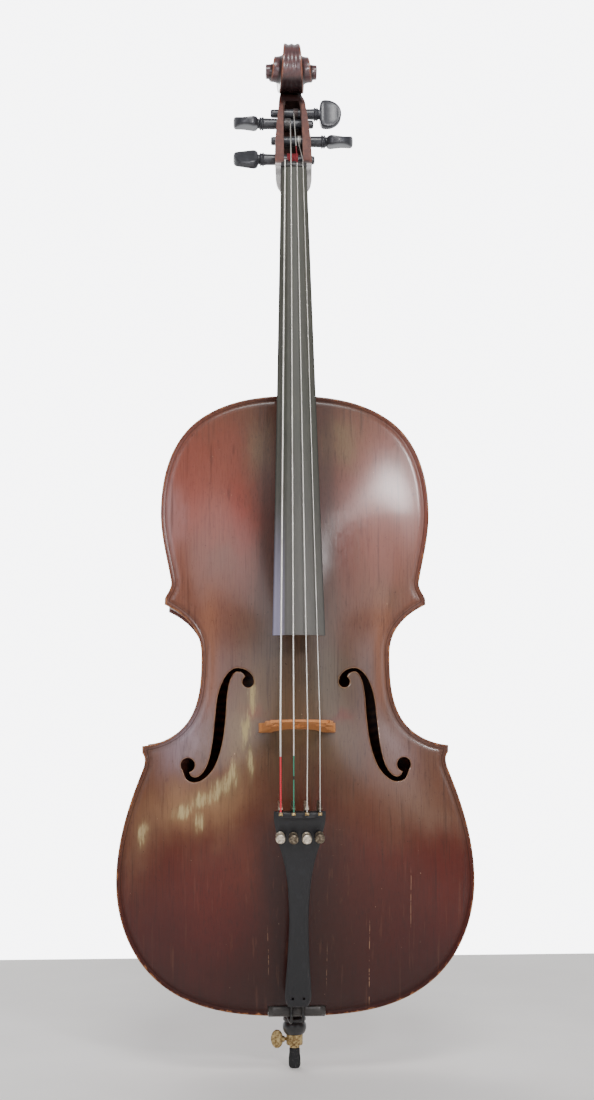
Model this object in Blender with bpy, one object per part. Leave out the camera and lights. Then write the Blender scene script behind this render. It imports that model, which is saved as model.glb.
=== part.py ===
"""Full-size cello, modelled as its separate pieces.  Run with Blender 4.5.

Frame: +Z runs up the instrument from the endpin tip to the scroll, the belly faces -Y and the
bass (C string) side is -X.  The origin is the centre of the flat under the rubber endpin tip.
Lengths in this file are millimetres; meshes are built in metres.
"""
import math

import bmesh
import bpy
import numpy as np
from mathutils import Vector

MM = 0.001
GAP = 0.3                        # clearance between touching solids
FACET_SAG = 2.2                  # clearance under the faceted arching

# ---- driving dimensions ---------------------------------------------------------------------
BODY_Z = 74.0                    # body's bottom edge above the endpin tip
BODY_LENGTH = 755.0
RIB_HALF = 59.0                  # half the rib height
RIB_THICKNESS = 2.0
PLATE_EDGE = 4.5                 # thickness of both plates
OVERHANG = 4.0                   # plate edge outside the ribs
TOP_ARCH = 24.0
BACK_ARCH = 22.0
LINING_HEIGHT = 15.0
LINING_THICKNESS = 2.5
NECK_BLOCK = (42.0, 34.0)        # half width, depth along the body
END_BLOCK = (38.0, 26.0)
BUTTON_HALF = 15.0               # half width of the back plate's button
BUTTON_REACH = 21.0

BRIDGE_Z = BODY_Z + 341.0        # where the feet stand
BRIDGE_HEIGHT = 90.0
BRIDGE_LEAN = math.radians(5.5)  # towards the fingerboard
NUT_Z = BODY_Z + 1060.0
NUT_Y = -52.0                    # fingerboard surface at the nut
BOARD_END_Z = BODY_Z + 449.0
BOARD_END_Y = -152.5
BOARD_HALF_WIDTHS = (16.5, 31.0)  # at the nut and at the end
BOARD_THICKNESS = (9.0, 13.5)

SCROLL_CENTRE = (25.0, BODY_Z + 1225.0)   # y, z of the eye
SCROLL_RADII = (43.0, 9.5)       # outside of the first turn, eye
SCROLL_TURNS = 2.25
SCROLL_HALF_WIDTHS = (13.0, 9.4, 34.0)    # at the start, at the crown, at the eye

TAIL_TOP = (-150.0, BODY_Z + 246.0)       # y, z of the tailpiece's string end
TAIL_BOTTOM = (-94.0, BODY_Z + 18.0)
SADDLE_HALF = 34.0

ROD_RADIUS = 5.0
ROD_TOP = BODY_Z + 360.0
TIP_HEIGHT = 24.0

# name: (side the head sits on, z, y, leaf angle about the peg's axis, how far the head sits out,
#        leaf's stretch along the peg)
PEGS = {
    "C": (-1, BODY_Z + 1082.0, -19.0, 45.0, 11.0, 1.0),
    "A": (1, BODY_Z + 1112.5, -7.5, 78.0, 11.0, 1.06),
    "G": (-1, BODY_Z + 1141.0, 3.0, 80.0, 11.0, 1.0),
    "D": (1, BODY_Z + 1158.0, 9.0, 4.0, 2.5, 0.9),
}
PEG_COLLAR = 30.0                # collar ring from the pegbox's middle, at no extra reach
LEAF_START = 4.4                 # leaf's shoulder beyond the collar
# a peg leaf's sections outwards from its shoulder: along, half height, half thickness
LEAF = [(-16.5, 6.8, 5.2), (-15.8, 11.6, 5.9), (-14.2, 16.3, 6.6), (-11, 19, 7.0), (-6.3, 19.8, 6.2),
        (-1, 19.6, 5.5), (4.2, 18, 5.3), (9, 15, 5.9), (12.7, 11, 6.7), (15, 6.8, 6.6), (16.1, 3.5, 5.0),
        (16.5, 1.3, 3.0)]
# outline of a section, as shares of its half height and half thickness
LEAF_SECTION = [(1, 0.55), (0.82, 1), (-0.82, 1), (-1, 0.55), (-1, -0.55), (-0.82, -1), (0.82, -1), (1, -0.55)]
# a peg's collar rings: radius, distance out from the collar
COLLAR = [(7.3, -3.5), (9.0, -2.7), (9.0, -0.8), (7.6, -0.2), (8.8, 0.7), (8.8, 1.9), (6.5, 3.4), (6.5, 8.0)]
PEG_RADII = (5.6, 7.0)           # at 24 mm either side of the pegbox's middle, thicker at the head
# name: (x at bridge, x at nut, diameter, drop of the bridge top below its crown)
STRINGS = {
    "C": (-23.0, -11.6, 2.0, 5.0),
    "G": (-8.0, -3.9, 1.5, 0.4),
    "D": (8.0, 3.9, 1.2, 1.4),
    "A": (22.5, 11.6, 0.9, 8.5),
}

# outline of the body's right half, bottom edge at z 0: x, z, heading in degrees
UPPER_BOUT = [(0, 755, 0), (119, 724.5, -36), (167, 606, -90), (153.5, 520, -100), (161, 499.5, -65)]
WAIST = [(161.3, 491.5, -155), (121.5, 456, -116), (115.8, 428, -90), (127.5, 356, -63),
         (187, 319.5, -5)]
LOWER_BOUT = [(186.8, 311, -132), (187, 288.5, -68), (216.5, 160, -90), (163, 39.3, -141), (0, 0, -180)]
# half width of the raised arching, inside the edge channel: x, z
ARCH_WIDTHS = [(158, 606), (147, 540), (131, 495), (113, 458), (107, 428), (110, 385), (122, 350),
               (147, 318), (172, 282), (198, 222), (207, 160)]
# centre line of an f-hole's stem: x, z, width
F_STEM = [(56, 399, 9), (60, 406, 6.8), (67, 410.5, 4.6), (76, 410, 4.6), (84.5, 399, 7.5), (90, 379, 11),
          (92.5, 352, 12.5), (96, 322, 11.5), (102.5, 298, 9), (111.5, 284.5, 6.5), (121, 279, 5.6),
          (130, 281.5, 6.6), (134.5, 291, 7)]
F_EYES = [(58.6, 396.5, 7.0), (131.5, 296.5, 8.6)]

# plate facets: heights of the rows above the bottom edge, columns across
PLATE_ROWS = [0.5, 3, 9, 20, 36, 62, 100, 145, 190, 230, 262, 285, 303, 311, 319.5, 323, 330, 341, 358,
              385, 420, 447, 466, 480, 491.5, 499.5, 508, 524, 552, 590, 625, 660, 690, 712, 730, 744,
              751.5, 754.2]
PLATE_COLUMNS = 8
FINE = 24                        # points of each outline stretch, for widths
RIB_STEPS = 5                    # facets of each outline stretch, for ribs and linings
CHANNEL = 9.0                    # width of the edge channel
BOUTS = {"upper": UPPER_BOUT, "waist": WAIST, "lower": LOWER_BOUT}
SIDES = {"bass": -1, "treble": 1}
INNER = OVERHANG + RIB_THICKNESS  # plate edge to the ribs' inner face
# corner tips: a point on the mitre between two ribs and the mitre's direction, right half
MITRES = {"upper": ((161.2, 495.5), (-0.94, 0.34)), "lower": ((187.0, 315.2), (-0.93, -0.36))}
# inner ends of the corner blocks, as heights above the bottom edge: on the bout, on the waist
BLOCK_ENDS = {"upper": (535.0, 456.0), "lower": (276.0, 340.0)}
# where linings stop, right half: cuts as (point, direction, keep_left)
LINING_CUTS = {
    "upper": [((NECK_BLOCK[0] + 1, 0), (0, -1), True), ((0, 537), (1, 0), True)],
    "waist": [((0, 454), (1, 0), False), ((0, 342), (1, 0), True)],
    "lower": [((0, 274), (1, 0), False), ((END_BLOCK[0] + 1, 0), (0, -1), True)],
}
BAR_SPAN = (90.0, 665.0)         # bass bar's ends above the bottom edge
BAR_HALF = 5.5
POST_RADIUS = 5.5
POST_PLACE = (29.0, BRIDGE_Z - BODY_Z - 13.0)
PLUG_RADIUS = 12.0
MORTISE_Z = 741.0                # floor of the neck's mortise above the bottom edge

# pegbox cavity: z above the bottom edge, front y, back y, half width
CAVITY = [(1068, -60, -22, 12.4), (1080, -60, -8, 12.4), (1110, -60, 5, 12), (1140, -60, 14, 11.3),
          (1163, -60, 22, 10.2), (1174, -60, 12, 8.6)]

# the bridge's right half outline below its crown: across, up from the feet
BRIDGE_SIDE = [(33.2, 79.5), (30.5, 74), (31.5, 66), (37, 60), (39.5, 54), (37.5, 49), (32.5, 46.5),
               (31.5, 42), (33, 36), (37, 24), (40, 13), (46, 5), (46, 0), (31, 0), (29, 5), (25.5, 12),
               (19, 21), (9, 27.5)]
BRIDGE_THICKNESS = (11.0, 2.8)   # at the feet and at the crown
# openings through the bridge: name, across, up, radius
BRIDGE_HOLES = [("heart", 0, 56, 8.5), ("kidney_bass", -26, 62, 5), ("kidney_treble", 26, 62, 5)]

# the tailpiece's half width at shares of its length from the string end
TAIL_WIDTHS = [(0, 30), (0.045, 29.7), (0.1, 27.3), (0.165, 23.8), (0.25, 18.2), (0.36, 13.8),
               (0.5, 11.7), (0.6, 11.5), (0.75, 12.8), (0.9, 15), (0.965, 15.2), (1, 12)]
TAIL_HOLES = (-22.5, -7.6, 7.6, 22.5)
LOOP_HOLES = (-6.5, 6.5)
LOOP_SHARE = 0.955               # loop holes, as a share of the tailpiece's length
STEM_SHARE = 0.115               # tuner holes, likewise
# an L-shaped tuner lever: along the tailpiece from the tuner's stem, out from it
LEVER_OUTLINE = [(8.0, -14.4), (8.0, -16.6), (-35.5, -16.6), (-35.5, 11.0), (-33.5, 13.0),
                 (-31.5, 11.0), (-31.5, -14.4)]
LEVER_HALF = 2.2
LEVER_PIVOT = (-12.0, -31.5)     # out from the tailpiece, along it from the tuner's stem
# fine tuner's threaded body and screw: radius, distance out from the crown of the tailpiece
TUNER_BODY = [(2.9, GAP), (5.2, GAP), (5.2, 3.0), (3.2, 3.0), (3.2, 6.0)]
TUNER_SCREW = [(1.5, 6.6), (2.4, 6.6), (2.4, 8.0), (5.7, 8.2), (5.7, 13.6), (4.6, 14.6)]

LOOP_RADIUS = 1.5
# endpin plug: radius, height above the body's bottom edge
PLUG_TOP = 38.0
PLUG = [(10.2, PLUG_TOP), (11.6, OVERHANG - GAP), (13.6, OVERHANG - GAP), (13.6, -1.0), (9.6, -2.5),
        (9.6, -11.5), (14.2, -13.5), (14.2, -17.0), (12.6, -18.0), (14.7, -21.5), (14.7, -27.5),
        (11.5, -33.0)]
FERRULE = [(10.2, -33.0 - GAP), (10.2, -45.3), (9.4, -46.3)]
SCREW_Z = BODY_Z - 39.5          # axis of the thumb screw
SCREW_RADIUS = 2.2
WING = (21.5, 7.6, 11.0, 1.6)    # thumb screw's plate: reach, half width, half height, half thickness
# rubber tip: radius, height above the floor
TIP = [(4.5, 0), (6.2, 1.2), (7.3, 4), (7.3, 12), (6.5, 19), (6.3, TIP_HEIGHT)]
SOCKET_DEPTH = 8.0               # of the rod in the rubber tip

FINISHES = {
    "varnish": ((0.26, 0.075, 0.035, 1), 0.35, 0.0),
    "spruce": ((0.62, 0.42, 0.22, 1), 0.6, 0.0),
    "ebony": ((0.03, 0.028, 0.026, 1), 0.45, 0.0),
    "maple": ((0.62, 0.38, 0.19, 1), 0.5, 0.0),
    "steel": ((0.6, 0.6, 0.58, 1), 0.3, 1.0),
    "nickel": ((0.5, 0.45, 0.36, 1), 0.35, 1.0),
    "rubber": ((0.02, 0.02, 0.02, 1), 0.8, 0.0),
    "nylon": ((0.05, 0.05, 0.05, 1), 0.5, 0.0),
}


# ---- scene and object helpers ---------------------------------------------------------------
def new_collection(name):
    """An empty collection linked to the scene."""
    collection = bpy.data.collections.get(name) or bpy.data.collections.new(name)
    if name not in bpy.context.scene.collection.children:
        bpy.context.scene.collection.children.link(collection)
    return collection


for old in list(bpy.data.objects):
    bpy.data.objects.remove(old, do_unlink=True)
PARTS = new_collection("cello")
CUTTERS = new_collection("cutters")


def material(name, slot):
    """A Principled material for one sub-part."""
    colour, roughness, metallic = FINISHES[slot]
    made = bpy.data.materials.new(name)
    made.use_nodes = True
    shader = made.node_tree.nodes["Principled BSDF"]
    shader.inputs["Base Color"].default_value = colour
    shader.inputs["Roughness"].default_value = roughness
    shader.inputs["Metallic"].default_value = metallic
    return made


def place(mesh, name, slot, origin=(0, 0, 0), collection=None):
    """Link a mesh whose points are in world millimetres, with its origin at a given point."""
    origin = Vector(origin)
    for vertex in mesh.vertices:
        vertex.co = (vertex.co - origin) * MM
    placed = bpy.data.objects.new(name, mesh)
    placed.location = origin * MM
    (collection or PARTS).objects.link(placed)
    if slot:
        mesh.materials.append(material(name, slot))
    mesh.shade_smooth()
    mesh.set_sharp_from_angle(angle=math.radians(35))
    return placed


def closed(mesh, weld):
    """Weld a mesh's seams and turn its faces outwards."""
    shape = bmesh.new()
    shape.from_mesh(mesh)
    bmesh.ops.remove_doubles(shape, verts=shape.verts, dist=weld)
    bmesh.ops.recalc_face_normals(shape, faces=shape.faces)
    if shape.calc_volume(signed=True) < 0:
        bmesh.ops.reverse_faces(shape, faces=shape.faces)
    shape.to_mesh(mesh)
    shape.free()
    return mesh


def mesh_from(points, faces):
    """A closed mesh from points and faces, with its faces pointing out."""
    mesh = bpy.data.meshes.new("solid")
    mesh.from_pydata([tuple(map(float, point)) for point in points], [], faces)
    return closed(mesh, 1e-4)


def loft(rings):
    """A solid through equal rings of points, with a flat face on each end."""
    count = len(rings[0])
    points = [point for ring in rings for point in ring]
    faces = [tuple(range(count)), tuple(range(len(points) - count, len(points)))]
    for row in range(len(rings) - 1):
        start = row * count
        for column in range(count):
            after = (column + 1) % count
            faces.append((start + column, start + after, start + count + after, start + count + column))
    return mesh_from(points, faces)


def prism(outline, y_low, y_high):
    """A flat outline in X and Z, extruded along Y by a filled 2D curve."""
    curve = bpy.data.curves.new("outline", "CURVE")
    curve.dimensions = "2D"
    curve.fill_mode = "BOTH"
    curve.extrude = (y_high - y_low) / 2
    spline = curve.splines.new("POLY")
    spline.points.add(len(outline) - 1)
    for point, (x, z) in zip(spline.points, outline):
        point.co = (x, z, 0, 1)
    spline.use_cyclic_u = True
    flat = bpy.data.objects.new("outline", curve)
    CUTTERS.objects.link(flat)
    mesh = curve_mesh(flat)
    middle = (y_low + y_high) / 2
    for vertex in mesh.vertices:
        x, z, depth = vertex.co
        vertex.co = (x, middle - depth, z)
    return mesh


def curve_mesh(holder, weld=1e-3):
    """The closed mesh of a curve object, which is then removed."""
    bpy.context.view_layer.update()
    graph = bpy.context.evaluated_depsgraph_get()
    mesh = closed(bpy.data.meshes.new_from_object(holder.evaluated_get(graph)), weld)
    bpy.data.objects.remove(holder, do_unlink=True)
    return mesh


def tube(points, diameter):
    """A round tube along points, as the closed mesh of a bevelled POLY curve."""
    curve = bpy.data.curves.new("route", "CURVE")
    curve.dimensions = "3D"
    curve.bevel_depth = diameter / 2
    curve.bevel_resolution = 2
    curve.use_fill_caps = True
    spline = curve.splines.new("POLY")
    spline.points.add(len(points) - 1)
    for knot, point in zip(spline.points, points):
        knot.co = (*point, 1)
    route = bpy.data.objects.new("route", curve)
    CUTTERS.objects.link(route)
    return curve_mesh(route)


def turned(profile, base, axis, steps=24):
    """A solid turned about an axis: profile is (radius, distance along the axis) from end to end."""
    along = Vector(axis).normalized()
    side = along.orthogonal().normalized()
    other = along.cross(side)
    rings = []
    for radius, distance in profile:
        angles = [math.tau * k / steps for k in range(steps)]
        rings.append([Vector(base) + along * distance + (side * math.cos(a) + other * math.sin(a)) * radius
                      for a in angles])
    return loft(rings)


def cutter(mesh, name):
    """A hidden object that a Boolean modifier takes away."""
    made = place(mesh, name, None, collection=CUTTERS)
    made.hide_render = True
    made.display_type = "WIRE"
    return made


def boolean(target, tool, operation="DIFFERENCE"):
    """An EXACT Boolean modifier on target."""
    step = target.modifiers.new(tool.name, "BOOLEAN")
    step.operation = operation
    step.object = tool
    step.solver = "EXACT"


# ---- outline and arching --------------------------------------------------------------------
def arc_between(start, end, steps):
    """Points of the arc-like curve between two (x, z, heading) nodes."""
    p0 = np.array(start[:2], float)
    p1 = np.array(end[:2], float)
    a0, a1 = math.radians(start[2]), math.radians(end[2])
    turn = abs((a1 - a0 + math.pi) % math.tau - math.pi)
    chord = float(np.linalg.norm(p1 - p0))
    handle = chord / 3 if turn < 1e-6 else chord * 2 / 3 * math.tan(turn / 4) / math.sin(turn / 2)
    q0 = p0 + handle * np.array([math.cos(a0), math.sin(a0)])
    q1 = p1 - handle * np.array([math.cos(a1), math.sin(a1)])
    t = np.linspace(0, 1, steps + 1)[:, None]
    return (1 - t) ** 3 * p0 + 3 * (1 - t) ** 2 * t * q0 + 3 * (1 - t) * t * t * q1 + t ** 3 * p1


def run_of(nodes, steps):
    """One smooth line through outline nodes."""
    pieces = [arc_between(a, b, steps)[:-1] for a, b in zip(nodes, nodes[1:])]
    return np.vstack(pieces + [np.array([nodes[-1][:2]], float)])


def smooth(points, steps):
    """A Catmull-Rom curve through points of any dimension."""
    p = np.array(points, float)
    p = np.vstack([2 * p[0] - p[1], p, 2 * p[-1] - p[-2]])
    out = []
    for k in range(1, len(p) - 2):
        for t in np.linspace(0, 1, steps, endpoint=False):
            out.append(0.5 * (2 * p[k] + (p[k + 1] - p[k - 1]) * t
                              + (2 * p[k - 1] - 5 * p[k] + 4 * p[k + 1] - p[k + 2]) * t * t
                              + (3 * p[k] - p[k - 1] - 3 * p[k + 1] + p[k + 2]) * t ** 3))
    out.append(p[-2])
    return np.array(out)


HALF_OUTLINE = np.vstack([run_of(bout, FINE) for bout in (UPPER_BOUT, WAIST, LOWER_BOUT)])
ORDERED = HALF_OUTLINE[np.argsort(HALF_OUTLINE[:, 1], kind="stable")]
ARCH_CURVE = smooth(ARCH_WIDTHS, 8)[::-1]


def half_width(z):
    """Half the plate's width at a height above the body's bottom edge."""
    return float(np.interp(z, ORDERED[:, 1], ORDERED[:, 0]))


def arch(x, z, height):
    """Height of the arching above the edge, at x and at z above the bottom edge."""
    if ARCH_WIDTHS[-1][1] < z < ARCH_WIDTHS[0][1]:
        reach = float(np.interp(z, ARCH_CURVE[:, 1], ARCH_CURVE[:, 0]))
    else:
        reach = max(half_width(z) - CHANNEL, 4.0)
    across = abs(x) / reach
    if across >= 1:
        return 0.0
    middle = BODY_LENGTH / 2
    away = min(1.0, abs((z - middle) / (middle - CHANNEL)))
    along = 0.5 + 0.5 * math.cos(math.pi * away ** 1.8)
    return height * along * (0.5 + 0.5 * math.cos(math.pi * across)) ** 0.85


def offset(line, distance):
    """A polyline moved sideways to the left of its direction."""
    tangent = np.gradient(line, axis=0)
    tangent /= np.linalg.norm(tangent, axis=1)[:, None]
    return line + distance * np.column_stack([-tangent[:, 1], tangent[:, 0]])


def mirrored(outline, side):
    """The outline on the side asked for: 1 right, -1 left."""
    return [(x * side, z + BODY_Z) for x, z in outline]


# ---- body -----------------------------------------------------------------------------------
def plate(front):
    """A carved plate: front is -1 for the top plate and 1 for the back plate."""
    height = TOP_ARCH if front < 0 else BACK_ARCH
    rings = []
    for z in PLATE_ROWS:
        width = half_width(z)
        xs = [width * math.sin(math.pi / 2 * k / (PLATE_COLUMNS / 2))
              for k in range(-PLATE_COLUMNS // 2, PLATE_COLUMNS // 2 + 1)]
        outer = [(x, front * (RIB_HALF + PLATE_EDGE + arch(x, z, height)), z + BODY_Z) for x in xs]
        inner = [(x, front * (RIB_HALF + GAP / 2 + arch(x, z, height)), z + BODY_Z) for x in reversed(xs)]
        rings.append(outer + inner)
    return loft(rings)


def f_hole(side):
    """The outline of one f-hole's stem, as a closed polygon."""
    line = smooth(F_STEM, 3)
    left = offset(line[:, :2], 1.0) - line[:, :2]
    width = line[:, 2:3] / 2
    outline = np.vstack([line[:, :2] + left * width, (line[:, :2] - left * width)[::-1]])
    return mirrored(outline, side)


def neck_root(grow):
    """The tapered root of the neck, from its top at the board to the button."""
    rings = []
    for y, half in ((-96, 22.5), (-63, 21.5), (0, 17.5), (59 - GAP, 14.5)):
        half += grow
        low = BODY_Z + MORTISE_Z - grow
        high = BODY_Z + 775
        rings.append([(-half, y, low), (half, y, low), (half, y, high), (-half, y, high)])
    rings[0] = [(x, y - grow * 20, z) for x, y, z in rings[0]]
    rings[-1] = [(x, y + grow, z) for x, y, z in rings[-1]]
    return loft(rings)


def cut_f_holes(target):
    """Both f-holes, each a stem and two eyes."""
    for side, name in ((-1, "bass"), (1, "treble")):
        boolean(target, cutter(prism(f_hole(side), -110, -50), "f_stem_" + name))
        for (x, z, radius), end in zip(F_EYES, ("upper", "lower")):
            eye = turned([(radius, 0), (radius, 60)], (x * side, -110, z + BODY_Z), (0, 1, 0), 20)
            boolean(target, cutter(eye, f"f_eye_{end}_{name}"))


def saddle_shape(grow):
    """The saddle's block, let into the lower edge of the top plate."""
    half = SADDLE_HALF + grow
    low = BODY_Z - 1.0 - grow * 9
    high = BODY_Z + 12 + grow
    rings = []
    for x in (-half, -half + 6, half - 6, half):
        raised = 0 if abs(x) > half - 1 else 4.5
        top = -RIB_HALF - PLATE_EDGE - 1.0 - raised - grow * 20
        rings.append([(x, -RIB_HALF - GAP + grow, low), (x, -RIB_HALF - GAP + grow, high),
                      (x, top, high), (x, top, low + 2.5)])
    return loft(rings)


def trim(line, point, direction, keep_left=True):
    """The part of a polyline on one side of a line through point."""
    normal = np.array([-direction[1], direction[0]]) * (1 if keep_left else -1)
    depth = (line - np.array(point)) @ normal
    kept = []
    for k in range(len(line)):
        if k and depth[k - 1] * depth[k] < 0:
            share = depth[k - 1] / (depth[k - 1] - depth[k])
            kept.append(line[k - 1] + share * (line[k] - line[k - 1]))
        if depth[k] >= 0:
            kept.append(line[k])
    return np.array(kept)


def strip(nodes, near, far, cuts):
    """The band between two offsets of an outline run, trimmed by (point, direction, side) cuts."""
    run = run_of(nodes, RIB_STEPS)
    lines = []
    for distance in (near, far):
        line = offset(run, -distance)
        for point, direction, keep_left in cuts:
            line = trim(line, point, direction, keep_left)
        lines.append(line)
    return np.vstack([lines[0], lines[1][::-1]])


def shifted(point, direction, amount):
    """A point moved to the left of a direction."""
    normal = np.array([-direction[1], direction[0]])
    return tuple(np.array(point) + amount * normal / np.linalg.norm(normal))


def cuts_for(bout):
    """Where a bout's ribs end: at the mitres and on the centre line or at the neck."""
    up, up_way = MITRES["upper"]
    low, low_way = MITRES["lower"]
    half = GAP / 2
    if bout == "upper":
        return [(shifted(up, up_way, -half), up_way, False), ((half, 0), (0, -1), True)]
    if bout == "waist":
        return [(shifted(up, up_way, half), up_way, True), (shifted(low, low_way, -half), low_way, False)]
    return [(shifted(low, low_way, half), low_way, True), ((half, 0), (0, -1), True)]


def button():
    """The back plate's round tab over the end of the neck's heel."""
    low = BODY_LENGTH - 8
    outline = [(-BUTTON_HALF, low + BODY_Z)]
    for k in range(13):
        angle = math.pi * k / 12
        outline.append((-BUTTON_HALF * math.cos(angle),
                        BODY_LENGTH - 3 + BODY_Z + BUTTON_REACH * math.sin(angle)))
    outline.append((BUTTON_HALF, low + BODY_Z))
    return prism(outline, RIB_HALF + GAP / 2, RIB_HALF + PLATE_EDGE)


def build_body():
    """Plates, ribs, blocks, linings, bass bar and sound post."""
    top = place(plate(-1), "top_plate", "varnish")
    cut_f_holes(top)
    boolean(top, cutter(neck_root(GAP), "neck_mortise_top"))
    boolean(top, cutter(saddle_shape(GAP), "saddle_slot"))
    back = place(plate(1), "back_plate", "varnish")
    boolean(back, cutter(button(), "button"), "UNION")
    mortise = cutter(neck_root(GAP), "neck_mortise")
    for side_name, side in SIDES.items():
        for bout, nodes in BOUTS.items():
            outline = strip(nodes, OVERHANG, INNER, cuts_for(bout))
            shape = prism(mirrored(outline, side), -RIB_HALF, RIB_HALF)
            rib = place(shape, f"rib_{bout}_{side_name}", "varnish")
            if bout == "upper":
                boolean(rib, mortise)
    build_blocks(mortise)
    build_linings()
    build_bar_and_post()


def corner_block(corner):
    """A corner block's outline: the two ribs' inner faces and a slanted inner face."""
    bout_end, waist_end = BLOCK_ENDS[corner]
    above = corner == "upper"
    mitre, way = MITRES[corner]
    bout = offset(run_of(BOUTS[corner], RIB_STEPS), -(INNER + GAP))
    bout = trim(bout, mitre, way, not above)
    bout = trim(bout, (0, bout_end), (1, 0), not above)
    waist = offset(run_of(WAIST, RIB_STEPS), -(INNER + GAP))
    waist = trim(waist, mitre, way, above)
    waist = trim(waist, (0, waist_end), (1, 0), above)
    return np.vstack([bout, waist]) if above else np.vstack([waist, bout])


def end_polygon(nodes, half, depth, at_top):
    """A neck or end block's outline, following the ribs' inner face."""
    line = offset(run_of(nodes, RIB_STEPS), -(INNER + GAP))
    line = trim(line, (half, 0), (0, 1), True)
    right = line[np.argsort(line[:, 0])]
    right = right[right[:, 0] >= 0]
    base = (BODY_LENGTH - INNER - depth) if at_top else (INNER + depth)
    edge = [(float(x), float(z)) for x, z in right]
    full = [(-x, z) for x, z in reversed(edge) if x > 0.01] + edge
    return [(x, z + BODY_Z) for x, z in full + [(half, base), (-half, base)]]


def build_blocks(mortise):
    """Neck block, end block and four corner blocks."""
    inside = RIB_HALF - GAP
    neck = place(prism(end_polygon(UPPER_BOUT, *NECK_BLOCK, True), -inside, inside), "neck_block", "spruce")
    boolean(neck, mortise)
    end = place(prism(end_polygon(LOWER_BOUT, *END_BLOCK, False), -inside, inside), "end_block", "spruce")
    bore = PLUG_RADIUS + GAP
    hole = turned([(bore, -20), (bore, 60)], (0, 0, BODY_Z), (0, 0, 1))
    boolean(end, cutter(hole, "endpin_bore"))
    for side_name, side in SIDES.items():
        rib = bpy.data.objects[f"rib_lower_{side_name}"]
        boolean(rib, bpy.data.objects["endpin_bore"])
        for corner in MITRES:
            place(prism(mirrored(corner_block(corner), side), -inside, inside),
                  f"corner_block_{corner}_{side_name}", "spruce")


def build_linings():
    """Twelve lining strips, glued inside the ribs against both plates."""
    high = RIB_HALF - GAP
    for side_name, side in SIDES.items():
        for bout, nodes in BOUTS.items():
            outline = strip(nodes, INNER + GAP, INNER + GAP + LINING_THICKNESS, LINING_CUTS[bout])
            shape = mirrored(outline, side)
            place(prism(shape, -high, LINING_HEIGHT - high), f"lining_top_{bout}_{side_name}", "spruce")
            place(prism(shape, high - LINING_HEIGHT, high), f"lining_back_{bout}_{side_name}", "spruce")


def build_bar_and_post():
    """Bass bar under the top plate, and the sound post between the plates."""
    rings = []
    first, last = BAR_SPAN
    for z in np.linspace(first, last, 15):
        x = STRINGS["C"][0] + 5 * (z - BODY_LENGTH / 2) / 290
        ends = math.sin(math.pi * (z - first + 10) / (last - first + 20))
        rise = min(arch(x - BAR_HALF, z, TOP_ARCH), arch(x + BAR_HALF, z, TOP_ARCH))
        y = FACET_SAG - RIB_HALF - rise
        low = y + 3 + 20 * ends ** 0.7
        half = BAR_HALF - 1
        rings.append([(x - BAR_HALF, y, z + BODY_Z), (x + BAR_HALF, y, z + BODY_Z),
                      (x + half, low, z + BODY_Z), (x - half, low, z + BODY_Z)])
    place(loft(rings), "bass_bar", "spruce")
    x, z = POST_PLACE
    front = FACET_SAG - RIB_HALF - arch(x + POST_RADIUS, z, TOP_ARCH)
    back = RIB_HALF + arch(x + POST_RADIUS, z, BACK_ARCH) - FACET_SAG
    post = turned([(POST_RADIUS, front), (POST_RADIUS, back)], (x, 0, z + BODY_Z), (0, 1, 0), 16)
    place(post, "sound_post", "spruce")


# ---- neck, pegbox and scroll ----------------------------------------------------------------
def board_y(z):
    """Surface of the fingerboard on the centre line."""
    return NUT_Y + (BOARD_END_Y - NUT_Y) * (NUT_Z - z) / (NUT_Z - BOARD_END_Z)


def board_glue_y(z):
    """Underside of the fingerboard, where it is glued to the neck."""
    share = (NUT_Z - z) / (NUT_Z - BOARD_END_Z)
    return board_y(z) + BOARD_THICKNESS[0] + (BOARD_THICKNESS[1] - BOARD_THICKNESS[0]) * share


def neck_stations():
    """Sections from the button, round the heel, up the neck and the pegbox to the scroll.

    Each one is front (y, z), back (y, z), half width, squareness of the back; z is above BODY_Z.
    """
    def glue(z):
        return board_glue_y(z + BODY_Z) + GAP

    return [
        ((58.7, 752), (58.7, 772), 14.6, 0.75),
        ((35, 752), (35, 775), 15.6, 0.8),
        ((5, 752), (5, 778), 17.3, 0.85),
        ((-25, 752), (-24, 784), 19, 0.9),
        ((-50, 752), (-42, 796), 20.5, 0.95),
        ((-72, 752), (-54, 815), 21.6, 1),
        ((glue(756), 756), (-59, 838), 22.3, 1),
        ((glue(800), 800), (-58.5, 862), 21.9, 1),
        ((glue(850), 850), (-53.5, 890), 21, 1),
        ((glue(910), 910), (-45, 925), 19.8, 1),
        ((glue(970), 970), (-36, 975), 18.6, 1),
        ((glue(1021), 1021), (-28, 1023), 17.4, 1),
        ((glue(1028), 1028), (-27, 1030), 18, 0.9),
        ((glue(1034), 1034), (-24, 1036), 21.2, 0.7),
        ((glue(1043), 1043), (-19, 1043.5), 23, 0.6),
        ((glue(1051), 1051), (-14.5, 1050), 23.3, 0.6),
        ((-42, 1062), (-8, 1058), 23.6, 0.52),
        ((-41, 1070), (4, 1068), 23.9, 0.45),
        ((-36.5, 1082), (9.5, 1084), 24, 0.42),
        ((-27, 1108), (15, 1112), 23.2, 0.42),
        ((-17, 1134), (22, 1138), 21.2, 0.42),
        ((-8, 1158), (31, 1160), 18.6, 0.42),
        ((0, 1171), (40, 1175), 17.6, 0.42),
        ((14, 1182), (49.5, 1189), 16.7, 0.42),
        ((30, 1193), (58.5, 1203), 15.4, 0.42),
        ((44, 1205), (65, 1215), 14.1, 0.42),
        ((52, 1217), (67.5, 1225), 13, 0.42),
        ((56, 1227), (65, 1232), 10.8, 0.42),
    ]


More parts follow.
